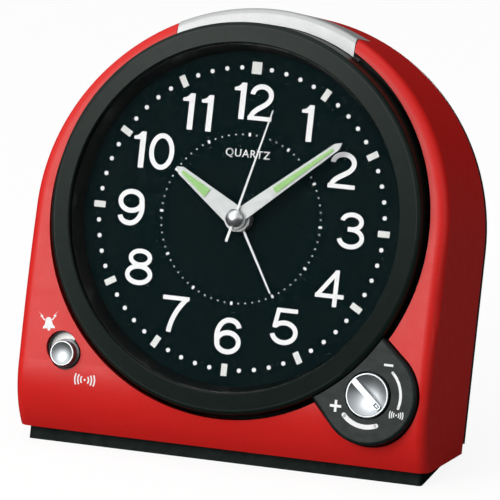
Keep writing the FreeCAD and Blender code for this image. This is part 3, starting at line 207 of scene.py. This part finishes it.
FIGURES = {
    "0": [(arc(0, 0.5, 0.298, 0.435, 0, LOOP_END), THICK, True)],
    "2": [(arc(0.0, 0.690, 0.272, 0.244, 176, -24) + bend(
        (0.2485, 0.591), (0.17, 0.38), (-0.25, 0.33), (-0.278, 0.03)), THICK, False),
        ([(-0.352, 0.0625), (0.345, 0.0625)], THIN, False)],
    "3": [(arc(-0.01, 0.737, 0.245, 0.200, 172, -72) + [
        (0.02, 0.537), (-0.10, 0.537)], THIN + 0.01, False),
        ([(-0.10, 0.537), (0.0, 0.537)] + arc(
            -0.005, 0.300, 0.290, 0.237, 84, -172), THICK - 0.01, False)],
    "4": [([(0.150, 0.0), (0.150, 1.0)], THICK - 0.01, False),
          ([(0.150, 0.955), (-0.315, 0.285)], THIN, False),
          ([(-0.365, 0.2875), (0.370, 0.2875)], THIN, False)],
    "5": [([(-0.235, 0.9375), (0.300, 0.9375)], THIN, False),
          ([(-0.185, 0.985), (-0.262, 0.452)], THIN + 0.005, False),
          (arc(-0.005, 0.332, 0.300, 0.268, 142, -170), THICK - 0.005, False)],
    "6": nine(turned_over=True),
    "7": [([(-0.345, 0.9375), (0.345, 0.9375)], THIN, False),
          ([(0.285, 0.955)] + bend(
              (0.285, 0.955), (0.10, 0.72), (-0.08, 0.42), (-0.12, 0.0)), THICK, False)],
    "8": [(arc(0, 0.748, 0.250, 0.190, 0, LOOP_END), THICK - 0.012, True),
          (arc(0, 0.290, 0.298, 0.226, 0, LOOP_END), THICK - 0.005, True)],
    "9": nine(),
}
# left and right reach of each figure; gap and sideways shift of each pair
REACH = {"0": (-0.373, 0.373), "1": (-0.13, 0.215), "2": (-0.352, 0.348)}
PAIRS = {"10": (0.125, 0.045), "11": (0.20, 0.012), "12": (0.11, 0.0)}


def draw_figure(print_, figure, x, foot, height, spread=1.0):
    """One figure, standing on the line at foot."""
    def put(path):
        return [(x + px * spread * height, foot + py * height) for px, py in path]
    if figure == "1":
        print_.area(put(figure_one()))
        return
    for step, (path, width, closed) in enumerate(FIGURES[figure]):
        print_.stroke(put(path), width * height, closed, extra=CROSSING_LIFT * step)


def draw_number(print_, number, x, y, height):
    """A number of one or two figures, centred on a point."""
    word = str(number)
    foot = y - height / 2
    if word == "1":
        draw_figure(print_, word, x - LONE_ONE_SHIFT * height, foot, height)
        return
    if len(word) == 1:
        draw_figure(print_, word, x, foot, height, SPREAD)
        return
    first, second = word
    wide = [REACH[f][1] - REACH[f][0] for f in word]
    gap, shift = PAIRS[word]
    left = x + (shift - (wide[0] + gap + wide[1]) / 2) * height
    draw_figure(print_, first, left - REACH[first][0] * height, foot, height)
    left += (wide[0] + gap) * height
    draw_figure(print_, second, left - REACH[second][0] * height, foot, height)


# ------------------------------------------------------------ materials

CLOUDS = "ShaderNodeTexNoise"
CELLS = "ShaderNodeTexVoronoi"
# most values of a noise lie between these
NOISE_LOW = 0.35
NOISE_HIGH = 0.65


def colour_of(sockets, name):
    """The colour socket of that name, on a mix node that has one for each kind of data."""
    return next(s for s in sockets if s.name == name and s.type == "RGBA")


class Graph:
    """The shader nodes of a material or of the world."""

    def __init__(self, owner):
        owner.use_nodes = True
        self.nodes = owner.node_tree.nodes
        self.links = owner.node_tree.links

    def add(self, kind, **values):
        """A new node; a value goes to its input of that name, or else to its own setting."""
        node = self.nodes.new(kind)
        for key, value in values.items():
            name = key.replace("_", " ")
            if name in node.inputs:
                node.inputs[name].default_value = value
            else:
                setattr(node, key, value)
        return node

    def join(self, source, target):
        self.links.new(source, target)

    def ramp(self, factor, low, high, start=NOISE_LOW, end=NOISE_HIGH, **settings):
        """Turn start to end into low to high."""
        node = self.add("ShaderNodeMapRange", From_Min=start, From_Max=end, To_Min=low,
                        To_Max=high, **settings)
        self.join(factor, node.inputs["Value"])
        return node.outputs["Result"]

    def mix(self, factor, first, second):
        """A shader that goes from the first to the second as the factor goes from 0 to 1."""
        node = self.add("ShaderNodeMixShader")
        if isinstance(factor, float):
            node.inputs["Fac"].default_value = factor
        else:
            self.join(factor, node.inputs["Fac"])
        self.join(first, node.inputs[1])
        self.join(second, node.inputs[2])
        return node.outputs["Shader"]


class Look(Graph):
    """A procedural material: a shader with layers of noise at the object's real scale."""

    def __init__(self, name, colour, metal=0.0, specular=0.5):
        self.material = bpy.data.materials.new(name)
        super().__init__(self.material)
        self.shader = self.nodes["Principled BSDF"]
        self.place = self.add("ShaderNodeTexCoord").outputs["Object"]
        self.normal = None
        self.colour = colour
        self.material.diffuse_color = (*colour, 1.0)
        self.set("Base Color", (*colour, 1.0))
        self.set("Metallic", metal)
        self.set("Specular IOR Level", specular)

    def set(self, socket, value):
        self.shader.inputs[socket].default_value = value

    def show(self, shader):
        self.join(shader, self.nodes["Material Output"].inputs["Surface"])

    def noise(self, scale, detail=3, stretch=None, kind=CLOUDS):
        """Noise with features about 1 / scale metres across, stretched along an axis if asked."""
        node = self.add(kind, Scale=scale)
        if kind == CLOUDS:
            node.inputs["Detail"].default_value = detail
        source = self.place
        if stretch is not None:
            mapping = self.add("ShaderNodeMapping", Scale=stretch)
            self.join(source, mapping.inputs["Vector"])
            source = mapping.outputs["Vector"]
        self.join(source, node.inputs["Vector"])
        return node.outputs["Fac" if kind == CLOUDS else "Distance"]

    def mottle(self, scale, dark, light, detail=3):
        """Vary the colour between two multiples of itself."""
        mix = self.add("ShaderNodeMix", data_type="RGBA")
        self.join(self.ramp(self.noise(scale, detail), 0.0, 1.0), mix.inputs["Factor"])
        for name, share in (("A", dark), ("B", light)):
            tint = [min(1.0, c * share) for c in self.colour]
            colour_of(mix.inputs, name).default_value = (*tint, 1.0)
        self.join(colour_of(mix.outputs, "Result"), self.shader.inputs["Base Color"])

    def haze(self, scale, low, high):
        """Vary the roughness."""
        self.join(self.ramp(self.noise(scale, detail=4), low, high),
                  self.shader.inputs["Roughness"])

    def grain(self, scale, height, detail=2, stretch=None, kind=CLOUDS):
        """Raise the surface by up to height millimetres, on top of any grain before it."""
        bump = self.add("ShaderNodeBump", Strength=1.0, Distance=height * MM)
        self.join(self.noise(scale, detail, stretch, kind), bump.inputs["Height"])
        if self.normal is not None:
            self.join(self.normal, bump.inputs["Normal"])
        self.normal = bump.outputs["Normal"]
        self.join(self.normal, self.shader.inputs["Normal"])


def red_lacquer():
    """Satin red lacquer with fine flakes and a slight waviness."""
    look = Look("red_lacquer", (0.56, 0.0095, 0.0072), specular=0.30)
    look.mottle(scale=2600, dark=0.95, light=1.06, detail=1)
    look.haze(scale=300, low=0.38, high=0.44)
    look.grain(scale=3200, height=0.0012, detail=1)
    look.grain(scale=45, height=0.004)
    return look


def black_satin():
    """Smooth black plastic of the front ring."""
    look = Look("black_satin", (0.0040, 0.0095, 0.0076), specular=0.16)
    look.mottle(scale=400, dark=0.90, light=1.10)
    look.haze(scale=1500, low=0.33, high=0.41)
    look.grain(scale=2600, height=0.002)
    return look


def black_grain():
    """Spark-eroded black plastic."""
    look = Look("black_grain", (0.0050, 0.0110, 0.0108), specular=0.18)
    look.mottle(scale=900, dark=0.85, light=1.20)
    look.haze(scale=500, low=0.36, high=0.45)
    look.grain(scale=1700, height=0.008, kind=CELLS)
    look.grain(scale=4200, height=0.004)
    return look


def base_black():
    """Moulded black plastic, duller than the rest; its colour, darker than the black grain, is painted shade
    on the plinth under the case.
    """
    # darker than black_grain's colour: painted shade for the plinth under the case's lip
    look = Look("base_black", (0.0045, 0.0090, 0.0086), specular=0.07)
    look.mottle(scale=700, dark=0.80, light=1.25)
    look.haze(scale=500, low=0.50, high=0.62)
    look.grain(scale=1700, height=0.008, kind=CELLS)
    return look


def black_gloss():
    """Polished black plastic around the dial."""
    look = Look("black_gloss", (0.0016, 0.0028, 0.0028), specular=0.22)
    look.mottle(scale=300, dark=0.9, light=1.1)
    look.haze(scale=2600, low=0.33, high=0.37)
    look.grain(scale=5200, height=0.0002)
    return look


def silver_lacquer():
    """Silver paint on the snooze bar."""
    look = Look("silver_lacquer", (0.43, 0.44, 0.45), metal=0.25)
    look.mottle(scale=2400, dark=0.96, light=1.03, detail=1)
    look.haze(scale=300, low=0.36, high=0.42)
    look.grain(scale=3000, height=0.0012)
    return look


def chrome(name, colour, rough):
    """Soft chrome plating, a little uneven."""
    look = Look(name, colour, metal=1.0)
    look.mottle(scale=200, dark=0.97, light=1.03)
    look.haze(scale=300, low=rough - 0.03, high=rough + 0.03)
    look.grain(scale=240, height=0.0012)
    return look


def dial_black():
    """Matt printed plate with a faint fine tooth."""
    look = Look("dial_black", (0.0010, 0.0062, 0.0068), specular=0.02)
    look.mottle(scale=1500, dark=0.8, light=1.25)
    look.haze(scale=600, low=0.68, high=0.82)
    look.grain(scale=2600, height=0.002)
    return look


def hand_silver():
    """Painted hands, lightly brushed."""
    look = Look("hand_silver", (0.40, 0.425, 0.43), metal=0.15)
    look.mottle(scale=700, dark=0.96, light=1.04)
    look.haze(scale=900, low=0.36, high=0.50)
    look.grain(scale=2200, height=0.002, stretch=(1, 1, 0.15))
    return look


def white_paint():
    """White printing ink."""
    look = Look("white_paint", (0.75, 0.76, 0.78))
    look.mottle(scale=1200, dark=0.96, light=1.03)
    look.haze(scale=800, low=0.48, high=0.62)
    look.grain(scale=3600, height=0.002)
    return look


def marker_paint():
    """Greyish luminous print of the hour marks."""
    look = Look("marker_paint", (0.68, 0.70, 0.69))
    look.mottle(scale=2200, dark=0.93, light=1.05)
    look.haze(scale=900, low=0.62, high=0.78)
    look.grain(scale=3000, height=0.006)
    return look


def lume_green():
    """Chalky luminous fill of the hands."""
    look = Look("lume_green", (0.26, 0.50, 0.17))
    look.mottle(scale=2400, dark=0.90, light=1.08)
    look.haze(scale=900, low=0.60, high=0.76)
    look.grain(scale=3400, height=0.006)
    return look


def clear_crystal():
    """Thin clear plastic: mostly see-through, with a reflection that grows towards its edge."""
    reflective_index = 1.38
    reflection_share = 0.012
    look = Look("clear_crystal", (0.95, 0.97, 0.97))
    look.nodes.remove(look.shader)
    see = look.add("ShaderNodeBsdfTransparent")
    glare = look.add("ShaderNodeBsdfGlossy")
    look.join(look.ramp(look.noise(150), low=0.02, high=0.05), glare.inputs["Roughness"])
    edge = look.add("ShaderNodeFresnel", IOR=reflective_index)
    soften = look.add("ShaderNodeMath", operation="MULTIPLY")
    soften.inputs[1].default_value = reflection_share
    look.join(edge.outputs["Fac"], soften.inputs[0])
    look.show(look.mix(soften.outputs["Value"], see.outputs["BSDF"], glare.outputs["BSDF"]))
    return look


def moulded(name, colour, rough=0.5):
    """Plain injection-moulded plastic."""
    look = Look(name, colour)
    look.mottle(scale=350, dark=0.92, light=1.08)
    look.haze(scale=700, low=rough - 0.06, high=rough + 0.08)
    look.grain(scale=1800, height=0.006)
    return look


def metal(name, colour, rough):
    """Bare or plated metal."""
    look = Look(name, colour, metal=1.0)
    look.mottle(scale=260, dark=0.90, light=1.06)
    look.haze(scale=500, low=rough - 0.06, high=rough + 0.10)
    look.grain(scale=1500, height=0.004)
    return look


def winding():
    """Turns of lacquered copper wire laid side by side."""
    look = metal("copper", (0.62, 0.25, 0.10), 0.3)
    look.grain(scale=6500, height=0.02, stretch=(1, 0.02, 0.02))
    return look


# the look of each material slot of the record
LOOKS = {
    "red_lacquer": red_lacquer(),
    "black_satin": black_satin(),
    "black_grain": black_grain(),
    "black_gloss": black_gloss(),
    "silver_lacquer": silver_lacquer(),
    "chrome": chrome("chrome", (0.37, 0.395, 0.415), 0.40),
    "clear_crystal": clear_crystal(),
    "dial_black": dial_black(),
    "hand_silver": hand_silver(),
    "hand_white": white_paint(),
    "white_plastic": moulded("white_plastic", (0.92, 0.92, 0.91), 0.45),
    "natural_plastic": moulded("natural_plastic", (0.72, 0.69, 0.60), 0.42),
    "frame_plastic": moulded("frame_plastic", (0.060, 0.060, 0.066)),
    "knob_black": moulded("knob_black", (0.022, 0.023, 0.024), 0.46),
    "steel": metal("steel", (0.56, 0.56, 0.55), 0.32),
    "contact_metal": metal("contact_metal", (0.72, 0.70, 0.66), 0.25),
    "copper": winding(),
    "circuit_board": moulded("circuit_board", (0.030, 0.150, 0.060), 0.35),
    "component_black": moulded("component_black", (0.030, 0.030, 0.033), 0.4),
    "cone_paper": moulded("cone_paper", (0.045, 0.045, 0.045), 0.8),
    "cell_jacket": metal("cell_jacket", (0.10, 0.12, 0.14), 0.3),
    "lead_jacket": moulded("lead_jacket", (0.42, 0.02, 0.02), 0.4),
}

# nodes that differ a little from the rest of their slot: the plinth's darker black is painted shade, the hub
# cap's brighter chrome is painted light
OWN_LOOKS = {
    "base_plinth": base_black(),
    # a brighter copy of the chrome: painted light on the hub cap
    "hub_cap": chrome("hub_chrome_painted_light", (0.66, 0.69, 0.72), 0.34),
}

INK = LOOKS["hand_white"].material
MARK_PAINT = marker_paint().material
LUME = lume_green().material


def dress_nodes():
    """Give every CAD node its own look or that of its material slot."""
    for part in frame["record"]["subparts"]:
        look = OWN_LOOKS.get(part["node"], LOOKS[part["material_slot"]])
        materials = frame["nodes"][part["node"]].data.materials
        materials.clear()
        materials.append(look.material)


# ------------------------------------------------------------ dial and hands, in millimetres

HOURS = 12
MINUTES = 60
MINUTES_PER_HOUR_MARK = 5
NUMBER_RADIUS = 31.8
NUMBER_HEIGHT = 9.9

MARK_RADIUS = 41.0
MARK_LONG = 3.3
MARK_WIDE = 1.7
TWELVE_MARK_WIDE = 2.8
MARK_HIGH = 0.06
DOT_RADIUS = 0.6
DOT_SIDES = 20

# the inner track is a ring of fine dots with a small block in place of every sixth
TRACK_RADIUS = 22.9
TRACK_STEPS = 72
TRACK_STEPS_PER_BLOCK = 6
TRACK_BLOCK_LONG = 0.95
TRACK_BLOCK_WIDE = 0.66
TRACK_DOT_RADIUS = 0.21
TRACK_DOT_SIDES = 12

FILL_HIGH = 0.10


def around(radius, turn):
    """A point at an angle clockwise from twelve, in degrees."""
    return radius * math.sin(math.radians(turn)), radius * math.cos(math.radians(turn))


def block(radius, turn, long_side, wide_side):
    """A rectangle that points at the dial's centre."""
    out_x, out_y = around(1, turn)
    middle_x, middle_y = around(radius, turn)
    corners = []
    for along, across in ((-1, -1), (1, -1), (1, 1), (-1, 1)):
        reach = along * long_side / 2
        side = -across * wide_side / 2
        corners.append((middle_x + out_x * reach + out_y * side,
                        middle_y + out_y * reach - out_x * side))
    return corners


def print_dial():
    """The numbers, hour marks, minute dots and inner track, each as one piece."""
    hour_turn = 360 / HOURS
    minute_turn = 360 / MINUTES
    track_turn = 360 / TRACK_STEPS

    numbers = Print(dial_point)
    for hour in range(1, HOURS + 1):
        draw_number(numbers, hour, *around(NUMBER_RADIUS, hour_turn * hour), NUMBER_HEIGHT)
    numbers.piece("dial_numbers", INK)

    marks = Print(dial_point, high=MARK_HIGH)
    for hour in range(HOURS):
        wide = TWELVE_MARK_WIDE if hour == 0 else MARK_WIDE
        marks.area(block(MARK_RADIUS, hour_turn * hour, MARK_LONG, wide))
    marks.piece("dial_hour_marks", MARK_PAINT)

    dots = Print(dial_point)
    for minute in range(MINUTES):
        if minute % MINUTES_PER_HOUR_MARK:
            dots.disc(*around(MARK_RADIUS, minute_turn * minute), DOT_RADIUS, DOT_SIDES)
    dots.piece("dial_minute_dots", INK)

    track = Print(dial_point)
    for step in range(TRACK_STEPS):
        turn = track_turn * step
        if step % TRACK_STEPS_PER_BLOCK:
            track.disc(*around(TRACK_RADIUS, turn), TRACK_DOT_RADIUS, TRACK_DOT_SIDES)
        else:
            track.area(block(TRACK_RADIUS, turn, TRACK_BLOCK_LONG, TRACK_BLOCK_WIDE))
    track.piece("dial_inner_track", INK)


def write_word(word, x, y, wide):
    """One plain word on the dial, set in Blender's own lettering."""
    letter_spacing = 1.12
    stroke_swell = 0.012
    weld = 0.0005
    text = bpy.data.curves.new("dial_word", "FONT")
    text.body = word
    text.align_x = "CENTER"
    text.align_y = "CENTER"
    text.space_character = letter_spacing
    text.offset = stroke_swell
    holder = bpy.data.objects.new("dial_word", text)
    bpy.context.scene.collection.objects.link(holder)
    bpy.context.view_layer.update()
    settled = holder.evaluated_get(bpy.context.evaluated_depsgraph_get())
    flat = bpy.data.meshes.new_from_object(settled)
    bpy.data.objects.remove(holder)
    mesh = bmesh.new()
    mesh.from_mesh(flat)
    bpy.data.meshes.remove(flat)
    bmesh.ops.remove_doubles(mesh, verts=mesh.verts, dist=weld)
    left = min(v.co.x for v in mesh.verts)
    right = max(v.co.x for v in mesh.verts)
    scale = wide / (right - left)
    grown = bmesh.ops.extrude_face_region(mesh, geom=mesh.faces[:])
    raised = {v for v in grown["geom"] if isinstance(v, bmesh.types.BMVert)}
    for vertex in mesh.verts:
        lift = PRINT_HIGH if vertex in raised else -PRINT_HIGH
        vertex.co = dial_point(x + vertex.co.x * scale, y + vertex.co.y * scale, lift)
    bmesh.ops.recalc_face_normals(mesh, faces=mesh.faces)
    new_piece("dial_word", mesh, INK, "clock_case")


def hand_turn(node):
    """Angle clockwise from twelve of a hand's tip, and the lift of its front face."""
    places = node_places(node)
    tip = max(places, key=lambda p: math.hypot(p[0], p[1]))
    return math.degrees(math.atan2(tip[0], tip[1])), max(p[2] for p in places)


def fill_hand(node, name, start, end, wide_start, wide_end):
    """Luminous fill along the middle of a hand, with a round end towards its tip."""
    turn, front = hand_turn(node)
    out_x, out_y = around(1, turn)

    def on_hand(across, along, lift):
        x = out_x * along + out_y * across
        y = out_y * along - out_x * across
        return dial_point(x, y, front + lift)

    fill = Print(on_hand, high=FILL_HIGH)
    round_end = wide_end / 2
    middle = end - round_end
    outline = [(-wide_start / 2, start), (wide_start / 2, start), (round_end, middle)]
    for a in (30, 60, 90, 120, 150):
        along = middle + round_end * math.sin(math.radians(a))
        outline.append((round_end * math.cos(math.radians(a)), along))
    outline.append((-round_end, middle))
    fill.area(outline)
    fill.piece(name, LUME, body=node)


# ------------------------------------------------------------ marks on the case and the panel

# sides of the dots in the sound-wave signs and at the ends of the arcs
SIGN_DOT_SIDES = 14
ARC_END_SIDES = 16
# millimetres in front of the dial from which the case's surface is looked for
FAR_IN_FRONT = 60


def surface_front(node):
    """A function for how far a node's surface stands out over a point of the dial's plane."""
    tree = BVHTree.FromObject(frame["nodes"][node], bpy.context.evaluated_depsgraph_get())

    def find(x, y):
        hit = tree.ray_cast(dial_point(x, y, FAR_IN_FRONT), INTO)[0]
        return dial_place(hit)[2]
    return find


def waves(print_, x, y, size, thick):
    """A dot between three growing pairs of arcs: sound."""
    dot_share = 0.75
    first_radius = 0.10
    radius_step = 0.30
    widest_half = 52
    narrowing = 8
    taller = 1.1
    print_.disc(x, y, thick * dot_share, SIGN_DOT_SIDES)
    for ring in (1, 2, 3):
        radius = size * (first_radius + radius_step * ring)
        half = widest_half - narrowing * ring
        for side in (0, 180):
            bow = arc(0, 0, radius, radius * taller, side - half, side + half)
            print_.stroke([(x + px, y + py) for px, py in bow], thick)


def struck_bell(print_, x, y, size):
    """A bell with its clapper, and a bolt struck at it from either side: alarm off."""
    lean = math.radians(8)

    def put(px, py):
        return (x + size * (px * math.cos(lean) - py * math.sin(lean)),
                y + size * (px * math.sin(lean) + py * math.cos(lean)))

    bell = [(-0.46, -0.30), (0.46, -0.30), (0.42, -0.16), (0.30, -0.04), (0.24, 0.22)]
    bell += arc(0, 0.22, 0.24, 0.26, 20, 160)
    bell += [(-0.24, 0.22), (-0.30, -0.04), (-0.42, -0.16)]
    print_.area([put(px, py) for px, py in bell])
    print_.disc(*put(0, -0.36), 0.11 * size, SIGN_DOT_SIDES)
    bolt = [(0.24, 0.30), (0.46, 0.52), (0.36, 0.54), (0.76, 0.92),
            (0.50, 0.62), (0.62, 0.60), (0.30, 0.24)]
    for side in (-1, 1):
        corners = [put(side * px, py) for px, py in bolt]
        print_.area(corners if side > 0 else corners[::-1])


def mark_case():
    """White signs beside the alarm slider, laid on the curved red front."""
    front = surface_front("case_shell")

    def on_case(x, y, lift):
        return dial_point(x, y, front(x, y) + lift)

    signs = Print(on_case)
    struck_bell(signs, x=-50.7, y=-34.1, size=3.9)
    waves(signs, x=-38.6, y=-48.1, size=2.9, thick=0.40)
    signs.piece("case_signs", INK)


def mark_panel():
    """Plus, minus, two growing arcs and a sound sign around the volume knob."""
    front = max(place[2] for place in node_places("volume_panel"))
    knob_x, knob_y, _ = dial_place(JOINTS["volume_turn"]["pos_m"])

    def on_panel(x, y, lift):
        return dial_point(x, y, front + lift)

    signs = Print(on_panel)

    def ring_arc(radius, start, end, width):
        path = arc(knob_x, knob_y, radius, radius, start, end)
        signs.stroke(path, width)
        for x, y in (path[0], path[-1]):
            signs.disc(x, y, width / 2, ARC_END_SIDES)

    ring_arc(radius=9.2, start=-16, end=47, width=0.75)
    ring_arc(radius=8.5, start=-136, end=-68, width=1.25)

    minus_x, minus_y = knob_x + 4.9, knob_y + 8.6
    minus_reach, minus_width = 1.3, 0.62
    signs.stroke([(minus_x - minus_reach, minus_y), (minus_x + minus_reach, minus_y)], minus_width)

    plus_x, plus_y = knob_x - 8.7, knob_y - 3.8
    plus_reach, plus_width = 1.6, 0.72
    plus_half = plus_width / 2
    signs.stroke([(plus_x - plus_reach, plus_y), (plus_x + plus_reach, plus_y)], plus_width)
    for way in (1, -1):
        arm = [(plus_x, plus_y + way * plus_half), (plus_x, plus_y + way * plus_reach)]
        signs.stroke(arm, plus_width)

    waves(signs, knob_x + 8.5, knob_y - 4.4, size=1.9, thick=0.30)
    signs.piece("panel_signs", INK)


# ------------------------------------------------------------ floor, lights and camera


def make_floor():
    """A pale sheet that stays nearly white to the eye but does not glare into the case."""
    half = 3.0
    glow_share = 0.90
    mesh = bmesh.new()
    corners = ((-half, -half), (half, -half), (half, half), (-half, half))
    mesh.faces.new([mesh.verts.new((x, y, 0)) for x, y in corners])
    data = bpy.data.meshes.new("floor")
    mesh.to_mesh(data)
    mesh.free()
    floor = bpy.data.objects.new("floor", data)
    bpy.context.scene.collection.objects.link(floor)
    look = Look("floor_paper", (0.24, 0.24, 0.24))
    look.set("Roughness", 0.9)
    look.mottle(scale=30, dark=0.98, light=1.02)
    rays = look.add("ShaderNodeLightPath")
    paper = look.add("ShaderNodeBsdfDiffuse", Color=(0.95, 0.95, 0.95, 1))
    glow = look.add("ShaderNodeEmission", Strength=1.0)
    dark = look.add("ShaderNodeBsdfDiffuse", Color=(0.06, 0.06, 0.06, 1))
    to_eye = look.mix(glow_share, paper.outputs["BSDF"], glow.outputs["Emission"])
    to_things = look.mix(rays.outputs["Is Glossy Ray"], look.shader.outputs["BSDF"],
                         dark.outputs["BSDF"])
    look.show(look.mix(rays.outputs["Is Camera Ray"], to_things, to_eye))
    data.materials.append(look.material)


def make_world():
    """White to the eye; to surfaces a room that is bright at the upper left front only."""
    brightest_way = Vector((-0.50, -0.60, 0.62)).normalized()
    world = bpy.data.worlds.new("room")
    bpy.context.scene.world = world
    room = Graph(world)
    room.nodes.clear()
    place = room.add("ShaderNodeTexCoord").outputs["Generated"]
    aim = room.add("ShaderNodeVectorMath", operation="DOT_PRODUCT")
    aim.inputs[1].default_value = brightest_way
    room.join(place, aim.inputs[0])
    split = room.add("ShaderNodeSeparateXYZ")
    room.join(place, split.inputs["Vector"])
    smooth = {"interpolation_type": "SMOOTHSTEP"}
    facing = room.ramp(aim.outputs["Value"], low=0.04, high=1.15, start=-0.10, end=0.95, **smooth)
    above = room.ramp(split.outputs["Z"], low=0.10, high=1.0, start=0.08, end=0.34, **smooth)
    level = room.add("ShaderNodeMath", operation="MULTIPLY")
    room.join(facing, level.inputs[0])
    room.join(above, level.inputs[1])
    shaded = room.add("ShaderNodeBackground", Color=(1, 1, 1, 1))
    room.join(level.outputs["Value"], shaded.inputs["Strength"])
    white = room.add("ShaderNodeBackground", Color=(1, 1, 1, 1))
    rays = room.add("ShaderNodeLightPath")
    seen = room.mix(rays.outputs["Is Camera Ray"], shaded.outputs["Background"],
                    white.outputs["Background"])
    room.join(seen, room.add("ShaderNodeOutputWorld").inputs["Surface"])


# where the lights point, and their slightly warm colour
LIGHT_AIM = Vector((0, 0, 0.06))
LIGHT_COLOUR = (1.0, 0.985, 0.95)
# the rear light reaches only these, so that it leaves no glare on the edges seen from the front
REAR_NODES = ("back_cover", "battery_door", "case_screws", "time_set_knob", "alarm_set_knob")


def soft_light(name, place, wide, tall, power):
    """A rectangular light, its sides in metres and its power in watts."""
    data = bpy.data.lights.new(name, "AREA")
    data.shape = "RECTANGLE"
    data.size = wide
    data.size_y = tall
    data.energy = power
    data.color = LIGHT_COLOUR
    light = bpy.data.objects.new(name, data)
    bpy.context.scene.collection.objects.link(light)
    light.location = place
    light.rotation_euler = (LIGHT_AIM - Vector(place)).to_track_quat("-Z", "Y").to_euler()
    return light


def make_lights():
    soft_light("key", (-0.56, -1.15, 0.60), wide=0.85, tall=0.95, power=14.0)
    soft_light("top", (-0.05, 0.05, 0.9), wide=0.7, tall=0.4, power=1.0)
    soft_light("fill", (1.3, -0.3, 0.6), wide=0.9, tall=0.9, power=2.3)
    rear = soft_light("rear", (-0.45, 1.2, 0.45), wide=0.9, tall=0.8, power=13.0)
    lit = bpy.data.collections.new("lit_from_behind")
    for name in REAR_NODES:
        lit.objects.link(frame["nodes"][name])
    rear.light_linking.receiver_collection = lit


def make_camera():
    """A long lens to the right of the dial and above it."""
    heading = math.radians(20.41)
    rise = math.radians(14.14)
    roll = math.radians(1.1)
    distance = 1.4855
    aim_right = 2.7 * MM
    aim_down = 8.34 * MM
    towards = Vector((math.sin(heading) * math.cos(rise),
                      -math.cos(heading) * math.cos(rise),
                      math.sin(rise)))
    right = Vector((math.cos(heading), math.sin(heading), 0))
    up = towards.cross(right)
    aim = CENTRE + right * aim_right - up * aim_down
    turn = Matrix.Rotation(roll, 3, towards)
    data = bpy.data.cameras.new("camera")
    data.lens = 396
    data.sensor_width = 36
    data.clip_start = 0.1
    camera = bpy.data.objects.new("camera", data)
    bpy.context.scene.collection.objects.link(camera)
    axes = Matrix((turn @ right, turn @ up, towards)).transposed().to_4x4()
    camera.matrix_world = Matrix.Translation(aim + towards * distance) @ axes
    bpy.context.scene.camera = camera


def main():
    dress_nodes()
    print_dial()
    write_word("QUARTZ", x=0.0, y=17.6, wide=12.8)
    fill_hand("hour_hand", "hour_fill", start=10.9, end=20.4, wide_start=2.6, wide_end=0.9)
    fill_hand("minute_hand", "minute_fill", start=13.4, end=33.2, wide_start=1.75, wide_end=0.75)
    mark_case()
    mark_panel()
    make_floor()
    make_world()
    make_lights()
    make_camera()
    bpy.context.scene.view_settings.view_transform = "Standard"


main()
